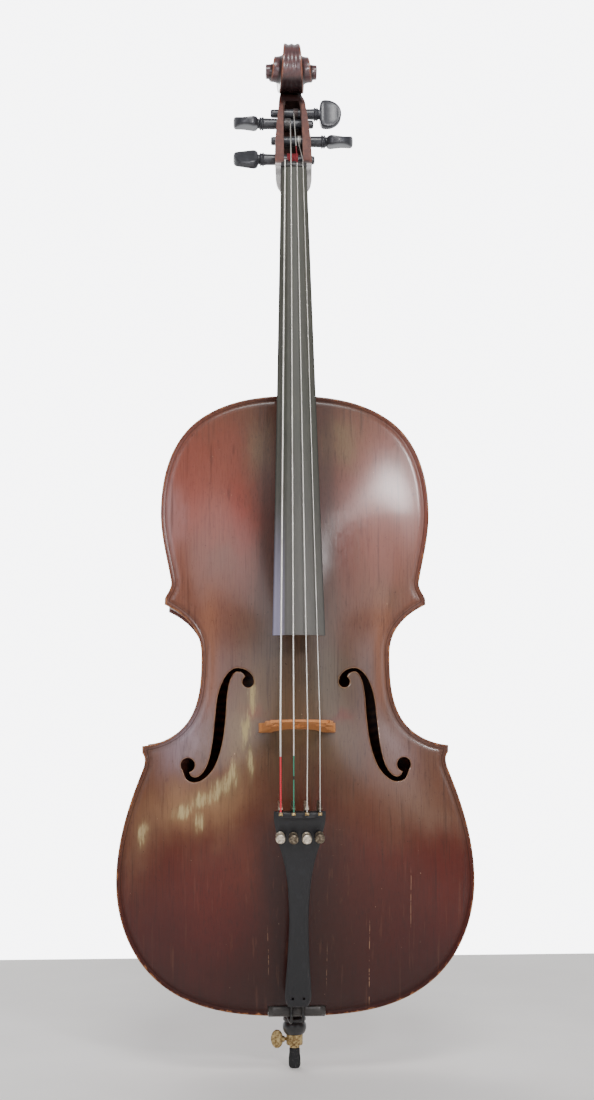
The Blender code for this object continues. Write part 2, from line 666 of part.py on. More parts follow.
def d_section(front, back, half, square, count=9):
    """A flat-fronted section: straight across the front, rounded across the back."""
    ring = []
    for k in range(count):
        angle = math.pi * k / (count - 1)
        cosine, sine = math.cos(angle), math.sin(angle)
        x = half * math.copysign(abs(cosine) ** square, cosine)
        depth = abs(sine) ** square
        ring.append((x, front[0] + (back[0] - front[0]) * depth,
                     BODY_Z + front[1] + (back[1] - front[1]) * depth))
    return ring


def scroll_radius(t):
    """Radius of the volute at an angle t along it."""
    share = t / (SCROLL_TURNS * math.tau)
    return SCROLL_RADII[1] + (SCROLL_RADII[0] - SCROLL_RADII[1]) * max(0.0, 1 - share) ** 1.35


def scroll_half(t):
    """Half width of the volute at an angle t along it, narrowest at its crown."""
    start, crown, eye = SCROLL_HALF_WIDTHS
    top = math.pi / 2
    if t < top:
        return crown + (start - crown) * (1 - t / top) ** 1.5
    share = min(1.0, (t - top) / (SCROLL_TURNS * math.tau - top))
    return crown + (eye - crown) * share ** 0.9


def scroll_point(t, radius, x):
    """A point on the volute: t runs from the back over the crown to the front."""
    y, z = SCROLL_CENTRE
    return (x, y + radius * math.cos(t), z + radius * math.sin(t))


def volute(steps=20):
    """The scroll's closed shell: rim of the first turn, stepped spiral faces and two eyes."""
    total = int(steps * SCROLL_TURNS)
    angle = math.tau / steps
    points = []
    edge = {}
    floor = {}
    for side in (-1, 1):
        for i in range(total + 1):
            t = i * angle
            edge[side, i] = len(points)
            points.append(scroll_point(t, scroll_radius(t), side * scroll_half(t)))
            if i <= total - steps:
                floor[side, i] = len(points)
                radius = scroll_radius(t + math.tau) + 0.8
                points.append(scroll_point(t, radius, side * (scroll_half(t) - 2.5)))
    faces = [(edge[-1, i], edge[1, i], edge[1, i + 1], edge[-1, i + 1]) for i in range(steps)]
    for side in (-1, 1):
        for i in range(total - steps):
            near, far = floor[side, i], floor[side, i + 1]
            faces.append((edge[side, i], edge[side, i + 1], far, near))
            faces.append((near, far, edge[side, i + 1 + steps], edge[side, i + steps]))
        last = total - steps
        eye = [edge[side, i] for i in range(last, total + 1)]
        faces.append(tuple(eye + [floor[side, last]]))
    faces.append((edge[-1, 0], floor[-1, 0], edge[-1, steps], edge[1, steps], floor[1, 0], edge[1, 0]))
    return mesh_from(points, faces)


def peg_radius(along):
    """A peg's shaft radius at a distance towards its head from the pegbox's middle."""
    thin, thick = PEG_RADII
    return thick - (thick - thin) * (24 - along) / 48


def build_neck():
    """Neck, pegbox and scroll in one piece, with the heel let into the neck block."""
    rings = [d_section(*station) for station in neck_stations()]
    neck = place(loft(rings), "neck", "varnish")
    boolean(neck, cutter(neck_tenon(), "neck_tenon"), "UNION")
    boolean(neck, cutter(volute(), "volute"), "UNION")
    cavity = []
    for z, front, back, half in CAVITY:
        cavity.append([(-half, front, z + BODY_Z), (half, front, z + BODY_Z), (half, back, z + BODY_Z),
                       (-half, back, z + BODY_Z)])
    boolean(neck, cutter(loft(cavity), "pegbox_cavity"))
    for name, (side, z, y, *_) in PEGS.items():
        hole = turned([(peg_radius(d) + 2 * GAP, d) for d in (-32, 32)], (0, y, z), (side, 0, 0), 20)
        boolean(neck, cutter(hole, "peg_hole_" + name))


def neck_tenon():
    """The part of the root that sits in the neck block's mortise."""
    low = BODY_Z + MORTISE_Z
    high = BODY_Z + BODY_LENGTH - 1
    rings = []
    for y, half in ((-90, 22), (-63, 21.2), (0, 17.2), (58.7, 14.2)):
        rings.append([(-half, y, low), (half, y, low), (half, y, high), (-half, y, high)])
    return loft(rings)


def build_board():
    """Fingerboard, with a flat under the C string, and the nut."""
    rings = []
    for share in (0, 0.25, 0.5, 0.75, 1):
        z = NUT_Z - GAP - share * (NUT_Z - GAP - BOARD_END_Z)
        half = BOARD_HALF_WIDTHS[0] + (BOARD_HALF_WIDTHS[1] - BOARD_HALF_WIDTHS[0]) * share
        glue = board_glue_y(z)
        sag = (0.17 + 0.12 * share) * half
        flat = -half * 0.7
        ring = [(half, glue, z), (half, board_y(z) + sag, z)]
        for k in range(6, -4, -1):
            x = half * k / 7.2
            if x < flat + half * 0.2:
                break
            ring.append((x, board_y(z) + sag * (x / half) ** 2, z))
        ring.append((flat, board_y(z) + sag * 0.42, z))
        ring += [(-half, board_y(z) + sag * 1.25, z), (-half, glue, z)]
        rings.append(ring)
    place(loft(rings), "fingerboard", "ebony")
    half = BOARD_HALF_WIDTHS[0]
    z = NUT_Z + GAP / 2
    rings = []
    for x in np.linspace(-half, half, 9):
        crown = NUT_Y - 1.6 + 0.17 * half * (x / half) ** 2
        back = board_glue_y(NUT_Z) + GAP - 0.01
        rings.append([(x, crown, z), (x, crown + 0.8, z + 5), (x, crown + 4, z + 7.5), (x, -43.5, z + 7.5),
                      (x, -43.5, z)])
        rings[-1] = [(px, min(py, back), pz) for px, py, pz in rings[-1]]
    place(loft(rings), "nut", "ebony")


# ---- fittings -------------------------------------------------------------------------------
def string_height(x):
    """Height of the bridge's top edge at x."""
    names = ["C", "G", "D", "A"]
    xs = [-34.0] + [STRINGS[n][0] for n in names] + [34.0]
    drops = [9.5] + [STRINGS[n][3] for n in names] + [15.5]
    curve = np.polyfit(xs, drops, 4)
    return BRIDGE_HEIGHT - float(np.polyval(curve, x))


def bridge_point(x, up, depth):
    """A point of the leaning bridge: depth is towards the fingerboard."""
    base = -(RIB_HALF + PLATE_EDGE + TOP_ARCH)
    up_y, up_z = -math.cos(BRIDGE_LEAN), math.sin(BRIDGE_LEAN)
    return (x, base + up * up_y + depth * math.sin(BRIDGE_LEAN),
            BRIDGE_Z + up * up_z + depth * math.cos(BRIDGE_LEAN))


def build_bridge():
    """Bridge: a tapered plate on two feet, pierced by a heart and two side openings."""
    top = [(float(x), string_height(x)) for x in np.linspace(-33.5, 33.5, 15)]
    left = [(-x, up) for x, up in reversed(BRIDGE_SIDE)]
    outline = top + BRIDGE_SIDE + [(0, 28.5)] + left
    mesh = prism(outline, -1, 1)
    for vertex in mesh.vertices:
        up = vertex.co.z
        foot_thickness, crown_thickness = BRIDGE_THICKNESS
        taper = (foot_thickness - crown_thickness) * max(up, 0) / BRIDGE_HEIGHT
        thickness = foot_thickness - taper
        foot = arch(vertex.co.x, BRIDGE_Z - BODY_Z, TOP_ARCH) - TOP_ARCH
        lowered = up if up > 6 else up + (foot + GAP + 0.6) * (1 - up / 6)
        vertex.co = bridge_point(vertex.co.x, lowered, vertex.co.y * -thickness / 2)
    bridge = place(mesh, "bridge", "maple")
    way = (0, math.sin(BRIDGE_LEAN), math.cos(BRIDGE_LEAN))
    for name, x, up, radius in BRIDGE_HOLES:
        hole = turned([(radius, -15), (radius, 15)], bridge_point(x, up, 0), way, 16)
        boolean(bridge, cutter(hole, "bridge_" + name))


def tail_point(x, share, rise):
    """A point of the tailpiece: rise is out from its mid surface."""
    (y0, z0), (y1, z1) = TAIL_TOP, TAIL_BOTTOM
    way = np.array([y1 - y0, z1 - z0])
    way /= np.linalg.norm(way)
    out = np.array([way[1], -way[0]])
    y = y0 + (y1 - y0) * share + out[0] * rise
    z = z0 + (z1 - z0) * share + out[1] * rise
    return (x, y, z)


def build_tailpiece():
    """Tailpiece with four slots for the fine tuners and two holes for the tail loop."""
    rings = []
    for share, half in TAIL_WIDTHS:
        crown = 3.5 + 3.0 * (half / TAIL_WIDTHS[0][1]) ** 2
        section = [(-1, -1.5), (-1, 1), (-0.6, crown * 0.72), (0, crown), (0.6, crown * 0.72), (1, 1),
                   (1, -1.5), (0.5, -4), (-0.5, -4)]
        rings.append([tail_point(half * x, share, rise) for x, rise in section])
    tail = place(loft(rings), "tailpiece", "ebony")
    out = np.array(tail_point(0, 0, 1)) - np.array(tail_point(0, 0, 0))
    for k, x in enumerate(TAIL_HOLES):
        hole = turned([(3.6, -12), (3.6, 12)], tail_point(x, STEM_SHARE, 0), out, 12)
        boolean(tail, cutter(hole, f"tuner_hole_{k}"))
    bore = LOOP_RADIUS + 0.4
    for k, x in enumerate(LOOP_HOLES):
        hole = turned([(bore, -14), (bore, 14)], tail_point(x, LOOP_SHARE, 0), out, 10)
        boolean(tail, cutter(hole, f"loop_hole_{k}"))
    return out


def along_tail():
    """Unit vector down the tailpiece from its string end."""
    way = np.array(tail_point(0, 1, 0)) - np.array(tail_point(0, 0, 0))
    return way / np.linalg.norm(way)


def build_tuners(out):
    """Four fine tuners: a threaded body through the tailpiece, a rocking lever and a knurled screw."""
    down = along_tail()
    for x, name in zip(TAIL_HOLES, STRINGS):
        stem = np.array(tail_point(x, STEM_SHARE, 0))
        crown = 6.5 if abs(x) < 10 else 4.6
        profile = [(2.9, -8.5)] + [(radius, crown + rise) for radius, rise in TUNER_BODY]
        body = turned(profile, stem, out, 16)
        holder = place(body, f"fine_tuner_body_{name}", "nickel", origin=stem)
        frame = box_along(stem + out * -10.2, (4.2, 2.2, 3.6), out, down)
        boolean(holder, cutter(frame, f"tuner_frame_{name}"), "UNION")
        bore = turned([(1.9, -14), (1.9, crown + 10)], stem, out, 12)
        boolean(holder, cutter(bore, f"tuner_bore_{name}"))
        profile = [(1.5, -13.0)] + [(radius, crown + rise) for radius, rise in TUNER_SCREW]
        place(turned(profile, stem, out, 24), f"fine_tuner_screw_{name}", "nickel", origin=stem)
        place(tuner_lever(stem, out, down), f"fine_tuner_lever_{name}", "nickel",
              origin=stem + out * LEVER_PIVOT[0] + down * LEVER_PIVOT[1])


def box_along(centre, halves, out, down):
    """A box with its sides along X, the tailpiece's outward way and its length."""
    across = np.array([1.0, 0, 0])
    rings = []
    for s in (-1, 1):
        base = np.array(centre) + down * halves[2] * s
        rings.append([base + across * halves[0] * a + out * halves[1] * b
                      for a, b in ((-1, -1), (1, -1), (1, 1), (-1, 1))])
    return loft(rings)


def tuner_lever(stem, out, down):
    """An L-shaped lever: its long arm lies under the screw, its short arm hooks the string."""
    rings = []
    for across in (-LEVER_HALF, LEVER_HALF):
        middle = stem + np.array([across, 0, 0])
        rings.append([middle + down * a + out * b for a, b in LEVER_OUTLINE])
    return loft(rings)


def peg_leaf(side, y, z, angle, middle, stretch):
    """A peg's leaf: straight at its shoulder, round at its end, with hollow faces and a thick rim."""
    turn = math.radians(angle)
    rings = []
    for along, half, thick in LEAF:
        x = side * (middle + along * stretch)
        ring = []
        for high, deep in LEAF_SECTION:
            up, depth = half * high, thick * deep
            ring.append((x, y + up * math.sin(turn) + depth * math.cos(turn),
                         z + up * math.cos(turn) - depth * math.sin(turn)))
        rings.append(ring)
    return loft(rings)


def build_pegs():
    """Four tuning pegs: tapered shaft, collar rings and leaf, fused in one piece each."""
    for name, (side, z, y, angle, shift, stretch) in PEGS.items():
        collar = PEG_COLLAR + shift
        profile = [(peg_radius(-27), -27.5), (peg_radius(collar - 4), collar - 3.6)]
        profile += [(radius, collar + d) for radius, d in COLLAR]
        middle = collar + LEAF_START - LEAF[0][0] * stretch
        peg = place(turned(profile, (0, y, z), (side, 0, 0), 20), f"peg_{name}", "ebony", origin=(0, y, z))
        leaf = peg_leaf(side, y, z, angle, middle, stretch)
        boolean(peg, cutter(leaf, "peg_leaf_" + name), "UNION")


def string_route(name):
    """Points of a string from its tuner lever over bridge and nut to its peg."""
    x_bridge, x_nut, diameter, drop = STRINGS[name]
    half = diameter / 2
    _, peg_z, peg_y, *_ = PEGS[name]
    x_tail = TAIL_HOLES[list(STRINGS).index(name)]
    down = along_tail()
    out = np.array(tail_point(0, 0, 1)) - np.array(tail_point(0, 0, 0))
    hook = np.array(tail_point(x_tail, STEM_SHARE, 0)) + down * -33.5 + out * (13.4 + half)
    top = np.array(bridge_point(x_bridge, string_height(x_bridge) + GAP + half, 0))
    crown = NUT_Y - 1.6 + 0.17 * BOARD_HALF_WIDTHS[0] * (x_nut / BOARD_HALF_WIDTHS[0]) ** 2
    nut = np.array([x_nut, crown - GAP - half, NUT_Z + 0.5])
    behind = np.array([x_nut, crown - half + 1.0, NUT_Z + 8.5])
    reach = peg_radius(0) + half + GAP
    x_peg = x_nut * 0.62
    peg = np.array([x_peg, peg_y - reach * 0.94, peg_z - reach * 0.34])
    return [hook - (top - hook) * 0.03, top, nut, behind, peg]


def build_strings():
    """Four strings, each one tube along its whole route."""
    for name, (_, _, diameter, _) in STRINGS.items():
        hook, top, nut, behind, peg = string_route(name)
        afterlength = top - hook
        playing = nut - top
        knots = [hook, hook + afterlength * 0.5, top - afterlength * 0.015, top, top + playing * 0.004,
                 top + playing * 0.5, nut - playing * 0.003, nut, behind, (behind + peg) / 2, peg]
        place(tube(knots, diameter), f"string_{name}", "steel")


def build_saddle_and_loop():
    """Saddle and the tail loop that runs over it to the endpin's collar."""
    place(saddle_shape(0), "saddle", "ebony")
    neck = 9.6 + LOOP_RADIUS + 0.4
    route = []
    for side, hole in zip((-1, 1), LOOP_HOLES):
        end = np.array(tail_point(hole, LOOP_SHARE, -6.8))
        over = np.array([6.8 * side, -RIB_HALF - PLATE_EDGE - 6.5 - LOOP_RADIUS - GAP, BODY_Z + 10.5])
        edge = np.array([7.0 * side, over[1] - 0.3, BODY_Z - 0.5])
        turn = np.array([7.4 * side, -RIB_HALF - PLATE_EDGE - 1.5, BODY_Z - 7.0])
        arm = np.array([9.5 * side, -30.0, BODY_Z - 8.0])
        line = smooth([end, over, edge, turn, arm, (neck * side, 0, BODY_Z - 7.0)], 3)
        arc = [(neck * side * math.cos(a), neck * math.sin(a), BODY_Z - 7.0)
               for a in np.linspace(0.3, math.pi / 2, 5)]
        half = [tuple(p) for p in line] + [tuple(map(float, p)) for p in arc]
        route = half if side < 0 else route + half[::-1][1:]
    place(tube(route, 2 * LOOP_RADIUS), "tail_loop", "nylon")


def build_endpin():
    """Plug and collar, ferrule, thumb screw, sliding rod and rubber tip."""
    up = (0, 0, 1)
    bore = ROD_RADIUS + GAP
    body_edge = (0, 0, BODY_Z)
    plug = place(turned(PLUG, body_edge, up), "endpin_plug", "ebony")
    boolean(plug, cutter(turned([(bore, -BODY_Z), (bore, PLUG_TOP + 20)], body_edge, up), "plug_bore"))
    ferrule = place(turned(FERRULE, body_edge, up), "endpin_ferrule", "nickel")
    boolean(ferrule, cutter(turned([(bore, 0), (bore, 80)], (0, 0, 0), up), "ferrule_bore"))
    axis = (0, 0, SCREW_Z)
    outwards = (-1, 0, 0)
    thread = SCREW_RADIUS + GAP
    boolean(ferrule, cutter(turned([(thread, 2), (thread, 20)], axis, outwards, 16), "screw_bore"))
    shank = [(SCREW_RADIUS, ROD_RADIUS + 2 * GAP), (SCREW_RADIUS, 12.0), (3.6, 12.2), (3.6, 15.5),
             (2.6, 16.5)]
    screw = place(turned(shank, axis, outwards, 16), "thumb_screw", "nickel", origin=axis)
    reach, half_across, half_height, half_thickness = WING
    angles = [math.tau * k / 20 for k in range(20)]
    wing = [(-reach - half_across * math.cos(a), SCREW_Z + half_height * math.sin(a)) for a in angles]
    boolean(screw, cutter(prism(wing, -half_thickness, half_thickness), "thumb_screw_wing"), "UNION")
    low = TIP_HEIGHT - SOCKET_DEPTH
    place(turned([(ROD_RADIUS, low), (ROD_RADIUS, ROD_TOP)], (0, 0, 0), up), "endpin_rod", "steel")
    tip = place(turned(TIP, (0, 0, 0), up), "rubber_tip", "rubber")
    socket = turned([(bore, low - GAP), (bore, TIP_HEIGHT + 5)], (0, 0, 0), up)
    boolean(tip, cutter(socket, "tip_socket"))


build_body()
build_neck()
build_board()
build_bridge()
outward = build_tailpiece()
build_tuners(outward)
build_pegs()
build_strings()
build_saddle_and_loop()
build_endpin()
bpy.context.view_layer.update()
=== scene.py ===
"""Looks of a full-size cello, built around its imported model.  Blender 4.5."""
import math

import bmesh
import bpy
import numpy as np
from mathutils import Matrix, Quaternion, Vector
from mathutils.geometry import delaunay_2d_cdt
from mathutils.kdtree import KDTree


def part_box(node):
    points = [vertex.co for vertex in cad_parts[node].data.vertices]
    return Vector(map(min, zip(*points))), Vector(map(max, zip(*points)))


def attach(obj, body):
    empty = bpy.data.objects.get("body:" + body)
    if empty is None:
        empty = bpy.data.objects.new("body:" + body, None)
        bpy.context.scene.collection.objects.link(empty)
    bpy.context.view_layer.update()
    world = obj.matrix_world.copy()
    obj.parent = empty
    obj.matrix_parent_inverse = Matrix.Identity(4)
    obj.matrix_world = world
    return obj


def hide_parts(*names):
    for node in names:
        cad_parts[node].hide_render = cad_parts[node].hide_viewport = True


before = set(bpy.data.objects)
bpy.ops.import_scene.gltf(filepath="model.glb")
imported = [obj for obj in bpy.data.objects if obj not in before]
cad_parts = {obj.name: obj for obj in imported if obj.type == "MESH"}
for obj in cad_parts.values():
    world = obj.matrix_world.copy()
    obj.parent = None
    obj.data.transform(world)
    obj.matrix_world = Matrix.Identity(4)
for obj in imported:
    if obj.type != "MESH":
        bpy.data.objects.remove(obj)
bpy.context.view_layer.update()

MM = 0.001

# ---- places read from the frame, in millimetres ----------------------------------------------


def corners(node):
    """A node's lowest and highest corners in millimetres."""
    low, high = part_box(node)
    return np.array(low) / MM, np.array(high) / MM


GAP = 0.3
LOWEST_EDGE = 0.5        # from BODY_Z up to the CAD back plate's lowest point
RIB_HALF = corners("rib_lower_bass")[1][1]
BODY_Z = corners("back_plate")[0][2] - LOWEST_EDGE   # not the top plate, which the saddle notches
BODY_LENGTH = 755.0
PLATE_EDGE = 4.5
OVERHANG = 4.0
RIB_THICKNESS = 2.0
RIB_STEP = 2.5           # spacing of the sections along a rib
PLUG_HOLE = 12.3                 # radius of the endpin plug's hole through the ribs
TOP_ARCH = 24.0
BACK_ARCH = 22.0
CHANNEL = 9.0

UPPER_BOUT = [(0, 755, 0), (119, 724.5, -36), (167, 606, -90), (153.5, 520, -100), (161, 499.5, -65)]
WAIST = [(161.3, 491.5, -155), (121.5, 456, -116), (115.8, 428, -90), (127.5, 356, -63),
         (187, 319.5, -5)]
LOWER_BOUT = [(186.8, 311, -132), (187, 288.5, -68), (216.5, 160, -90), (163, 39.3, -141), (0, 0, -180)]
ARCH_WIDTHS = [(158, 606), (147, 540), (131, 495), (113, 458), (107, 428), (110, 385), (122, 350),
               (147, 318), (172, 282), (198, 222), (207, 160)]
F_STEM = [(56, 399, 9), (60, 406, 6.8), (67, 410.5, 4.6), (76, 410, 4.6), (84.5, 399, 7.5), (90, 379, 11),
          (92.5, 352, 12.5), (96, 322, 11.5), (102.5, 298, 9), (111.5, 284.5, 6.5), (121, 279, 5.6),
          (130, 281.5, 6.6), (134.5, 291, 7)]
F_EYES = [(58.6, 396.5, 7.0), (131.5, 296.5, 8.6)]
SIDES = {"bass": -1, "treble": 1}


# ---- mesh helpers ------------------------------------------------------------------------------
def linked(name, data):
    """A new object, linked to the scene."""
    made = bpy.data.objects.new(name, data)
    bpy.context.scene.collection.objects.link(made)
    return made


def baked(piece):
    """The mesh that an object's curve or modifiers make."""
    bpy.context.view_layer.update()
    return bpy.data.meshes.new_from_object(piece.evaluated_get(bpy.context.evaluated_depsgraph_get()))


def tag(mesh, name, values):
    """Store one value per vertex, for the materials to read."""
    layer = mesh.attributes.new(name, "FLOAT", "POINT")
    layer.data.foreach_set("value", np.array(values, np.float32))


def closed(mesh, weld=1e-4):
    """Weld a mesh's seams, unless weld is 0, and turn its faces outwards."""
    shape = bmesh.new()
    shape.from_mesh(mesh)
    if weld:
        bmesh.ops.remove_doubles(shape, verts=shape.verts, dist=weld)
    bmesh.ops.recalc_face_normals(shape, faces=shape.faces)
    if shape.calc_volume(signed=True) < 0:
        bmesh.ops.reverse_faces(shape, faces=shape.faces)
    shape.to_mesh(mesh)
    shape.free()
    return mesh


def mesh_from(points, faces):
    """A closed mesh from points in millimetres and faces."""
    mesh = bpy.data.meshes.new("shape")
    mesh.from_pydata([tuple(map(float, p)) for p in points], [], faces)
    return closed(mesh)


def ring_faces(rows, count, joined=False):
    """Four-sided faces between neighbouring rings; joined links the last ring to the first."""
    faces = []
    for row in range(rows if joined else rows - 1):
        start, ahead = row * count, (row + 1) % rows * count
        for column in range(count):
            after = (column + 1) % count
            faces.append((start + column, start + after, ahead + after, ahead + column))
    return faces


def loft(rings):
    """A solid through equal rings of points, with a flat face on each end."""
    count = len(rings[0])
    points = [p for ring in rings for p in ring]
    ends = [tuple(range(count)), tuple(range(len(points) - count, len(points)))]
    return mesh_from(points, ends + ring_faces(len(rings), count))


def turned(profile, base, axis, steps=64, knurl=0.0, knurl_span=(0, 0), ridges=0):
    """A solid turned about an axis; knurl cuts ridges into the profile points in knurl_span."""
    along = Vector(axis).normalized()
    side = along.orthogonal().normalized()
    other = along.cross(side)
    rings = []
    for k, (radius, distance) in enumerate(profile):
        ring = []
        for step in range(steps):
            a = math.tau * step / steps
            r = radius
            if knurl and knurl_span[0] <= k <= knurl_span[1]:
                r -= knurl * (0.5 + 0.5 * math.cos(ridges * a))
            ring.append(Vector(base) + along * distance + (side * math.cos(a) + other * math.sin(a)) * r)
        rings.append(ring)
    return loft(rings)


def tube(points, radius, sides=16):
    """A round tube through points, with a parallel frame along it."""
    points = np.array(points, float)
    tangents = np.gradient(points, axis=0)
    tangents /= np.linalg.norm(tangents, axis=1)[:, None]
    normal = np.array(Vector(tangents[0]).orthogonal().normalized())
    rings = []
    for point, tangent in zip(points, tangents):
        normal = normal - tangent * normal.dot(tangent)
        normal /= np.linalg.norm(normal)
        other = np.cross(tangent, normal)
        rings.append([point + radius * (normal * math.cos(a) + other * math.sin(a))
                      for a in np.linspace(0, math.tau, sides, endpoint=False)])
    return loft(rings)


def prism(outline, y_low, y_high, holes=()):
    """A flat outline in X and Z, with holes, extruded along Y by a filled 2D curve."""
    curve = bpy.data.curves.new("outline", "CURVE")
    curve.dimensions = "2D"
    curve.fill_mode = "BOTH"
    curve.extrude = (y_high - y_low) / 2
    for loop in (outline, *holes):
        spline = curve.splines.new("POLY")
        spline.points.add(len(loop) - 1)
        for knot, (x, z) in zip(spline.points, loop):
            knot.co = (x, z, 0, 1)
        spline.use_cyclic_u = True
    flat = linked("outline", curve)
    mesh = baked(flat)
    bpy.data.objects.remove(flat, do_unlink=True)
    closed(mesh, 1e-3)
    middle = (y_low + y_high) / 2
    for vertex in mesh.vertices:
        x, z, depth = vertex.co
        vertex.co = (x, middle - depth, z)
    return mesh


def put(mesh, name, look, body="root", nodes=(), sharp=35):
    """Link a millimetre mesh as a finished piece that rides on a body and replaces CAD nodes."""
    for vertex in mesh.vertices:
        vertex.co = vertex.co * MM
    piece = linked(name, mesh)
    mesh.materials.clear()
    mesh.materials.append(look)
    mesh.shade_smooth()
    if sharp:
        mesh.set_sharp_from_angle(angle=math.radians(sharp))
    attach(piece, body)
    if nodes:
        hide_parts(*nodes)
    return piece


def combine(base, others, operation):
    """Boolean of millimetre meshes by EXACT solver, returned as one mesh."""
    holder = linked("base", base)
    tools = []
    for other in others:
        tool = linked("tool", other)
        tools.append(tool)
        step = holder.modifiers.new("step", "BOOLEAN")
        step.operation = operation
        step.object = tool
        step.solver = "EXACT"
    made = baked(holder)
    for spent in [holder, *tools]:
        bpy.data.objects.remove(spent, do_unlink=True)
    return made


# ---- outline and arching -------------------------------------------------------------------------
def arc_between(start, end, steps):
    """Points of the arc-like curve between two (x, z, heading) nodes."""
    p0 = np.array(start[:2], float)
    p1 = np.array(end[:2], float)
    a0, a1 = math.radians(start[2]), math.radians(end[2])
    turn = abs((a1 - a0 + math.pi) % math.tau - math.pi)
    chord = float(np.linalg.norm(p1 - p0))
    handle = chord / 3 if turn < 1e-6 else chord * 2 / 3 * math.tan(turn / 4) / math.sin(turn / 2)
    q0 = p0 + handle * np.array([math.cos(a0), math.sin(a0)])
    q1 = p1 - handle * np.array([math.cos(a1), math.sin(a1)])
    t = np.linspace(0, 1, steps + 1)[:, None]
    return (1 - t) ** 3 * p0 + 3 * (1 - t) ** 2 * t * q0 + 3 * (1 - t) * t * t * q1 + t ** 3 * p1


def run_of(nodes, steps):
    """One smooth line through outline nodes."""
    pieces = [arc_between(a, b, steps)[:-1] for a, b in zip(nodes, nodes[1:])]
    return np.vstack(pieces + [np.array([nodes[-1][:2]], float)])


def smooth(points, steps):
    """A Catmull-Rom curve through points of any dimension."""
    p = np.array(points, float)
    p = np.vstack([2 * p[0] - p[1], p, 2 * p[-1] - p[-2]])
    out = []
    for k in range(1, len(p) - 2):
        for t in np.linspace(0, 1, steps, endpoint=False):
            out.append(0.5 * (2 * p[k] + (p[k + 1] - p[k - 1]) * t
                              + (2 * p[k - 1] - 5 * p[k] + 4 * p[k + 1] - p[k + 2]) * t * t
                              + (3 * p[k] - p[k - 1] - 3 * p[k + 1] + p[k + 2]) * t ** 3))
    out.append(p[-2])
    return np.array(out)


def spaced(line, step):
    """The same polyline with points an even distance apart."""
    travel = np.concatenate([[0], np.cumsum(np.linalg.norm(np.diff(line, axis=0), axis=1))])
    count = max(2, int(round(travel[-1] / step)) + 1)
    at = np.linspace(0, travel[-1], count)
    return np.column_stack([np.interp(at, travel, line[:, k]) for k in range(line.shape[1])])


def offset(line, distance):
    """A polyline moved sideways to the left of its direction."""
    tangent = np.gradient(line, axis=0)
    tangent /= np.linalg.norm(tangent, axis=1)[:, None]
    return line + distance * np.column_stack([-tangent[:, 1], tangent[:, 0]])


def trim(line, point, direction, keep_left=True):
    """The part of a polyline on one side of a line through point."""
    normal = np.array([-direction[1], direction[0]]) * (1 if keep_left else -1)
    depth = (line - np.array(point)) @ normal
    kept = []
    for k in range(len(line)):
        if k and depth[k - 1] * depth[k] < 0:
            share = depth[k - 1] / (depth[k - 1] - depth[k])
            kept.append(line[k - 1] + share * (line[k] - line[k - 1]))
        if depth[k] >= 0:
            kept.append(line[k])
    return np.array(kept)


HALF_OUTLINE = np.vstack([run_of(UPPER_BOUT, 40), run_of(WAIST, 40), run_of(LOWER_BOUT, 40)])
ORDERED = HALF_OUTLINE[np.argsort(HALF_OUTLINE[:, 1], kind="stable")]
ARCH_CURVE = smooth(ARCH_WIDTHS, 8)[::-1]


def arch(x, z, height):
    """Height of the arching above the edge for arrays of x and z."""
    x, z = np.abs(np.asarray(x, float)), np.asarray(z, float)
    inner = np.interp(z, ARCH_CURVE[:, 1], ARCH_CURVE[:, 0])
    outer = np.maximum(np.interp(z, ORDERED[:, 1], ORDERED[:, 0]) - CHANNEL, 4.0)
    middle_part = (z > ARCH_WIDTHS[-1][1]) & (z < ARCH_WIDTHS[0][1])
    across = np.minimum(x / np.where(middle_part, inner, outer), 1.0)
    middle = BODY_LENGTH / 2
    away = np.minimum(np.abs((z - middle) / (middle - CHANNEL)), 1.0)
    along = 0.5 + 0.5 * np.cos(math.pi * away ** 1.8)
    return height * along * (0.5 + 0.5 * np.cos(math.pi * across)) ** 0.85


# ---- materials -----------------------------------------------------------------------------------
def shade(red, green, blue):
    """A linear colour from everyday 0 to 255 values."""
    return (*[((c / 255 + 0.055) / 1.055) ** 2.4 if c > 10 else c / 3294 for c in (red, green, blue)], 1.0)


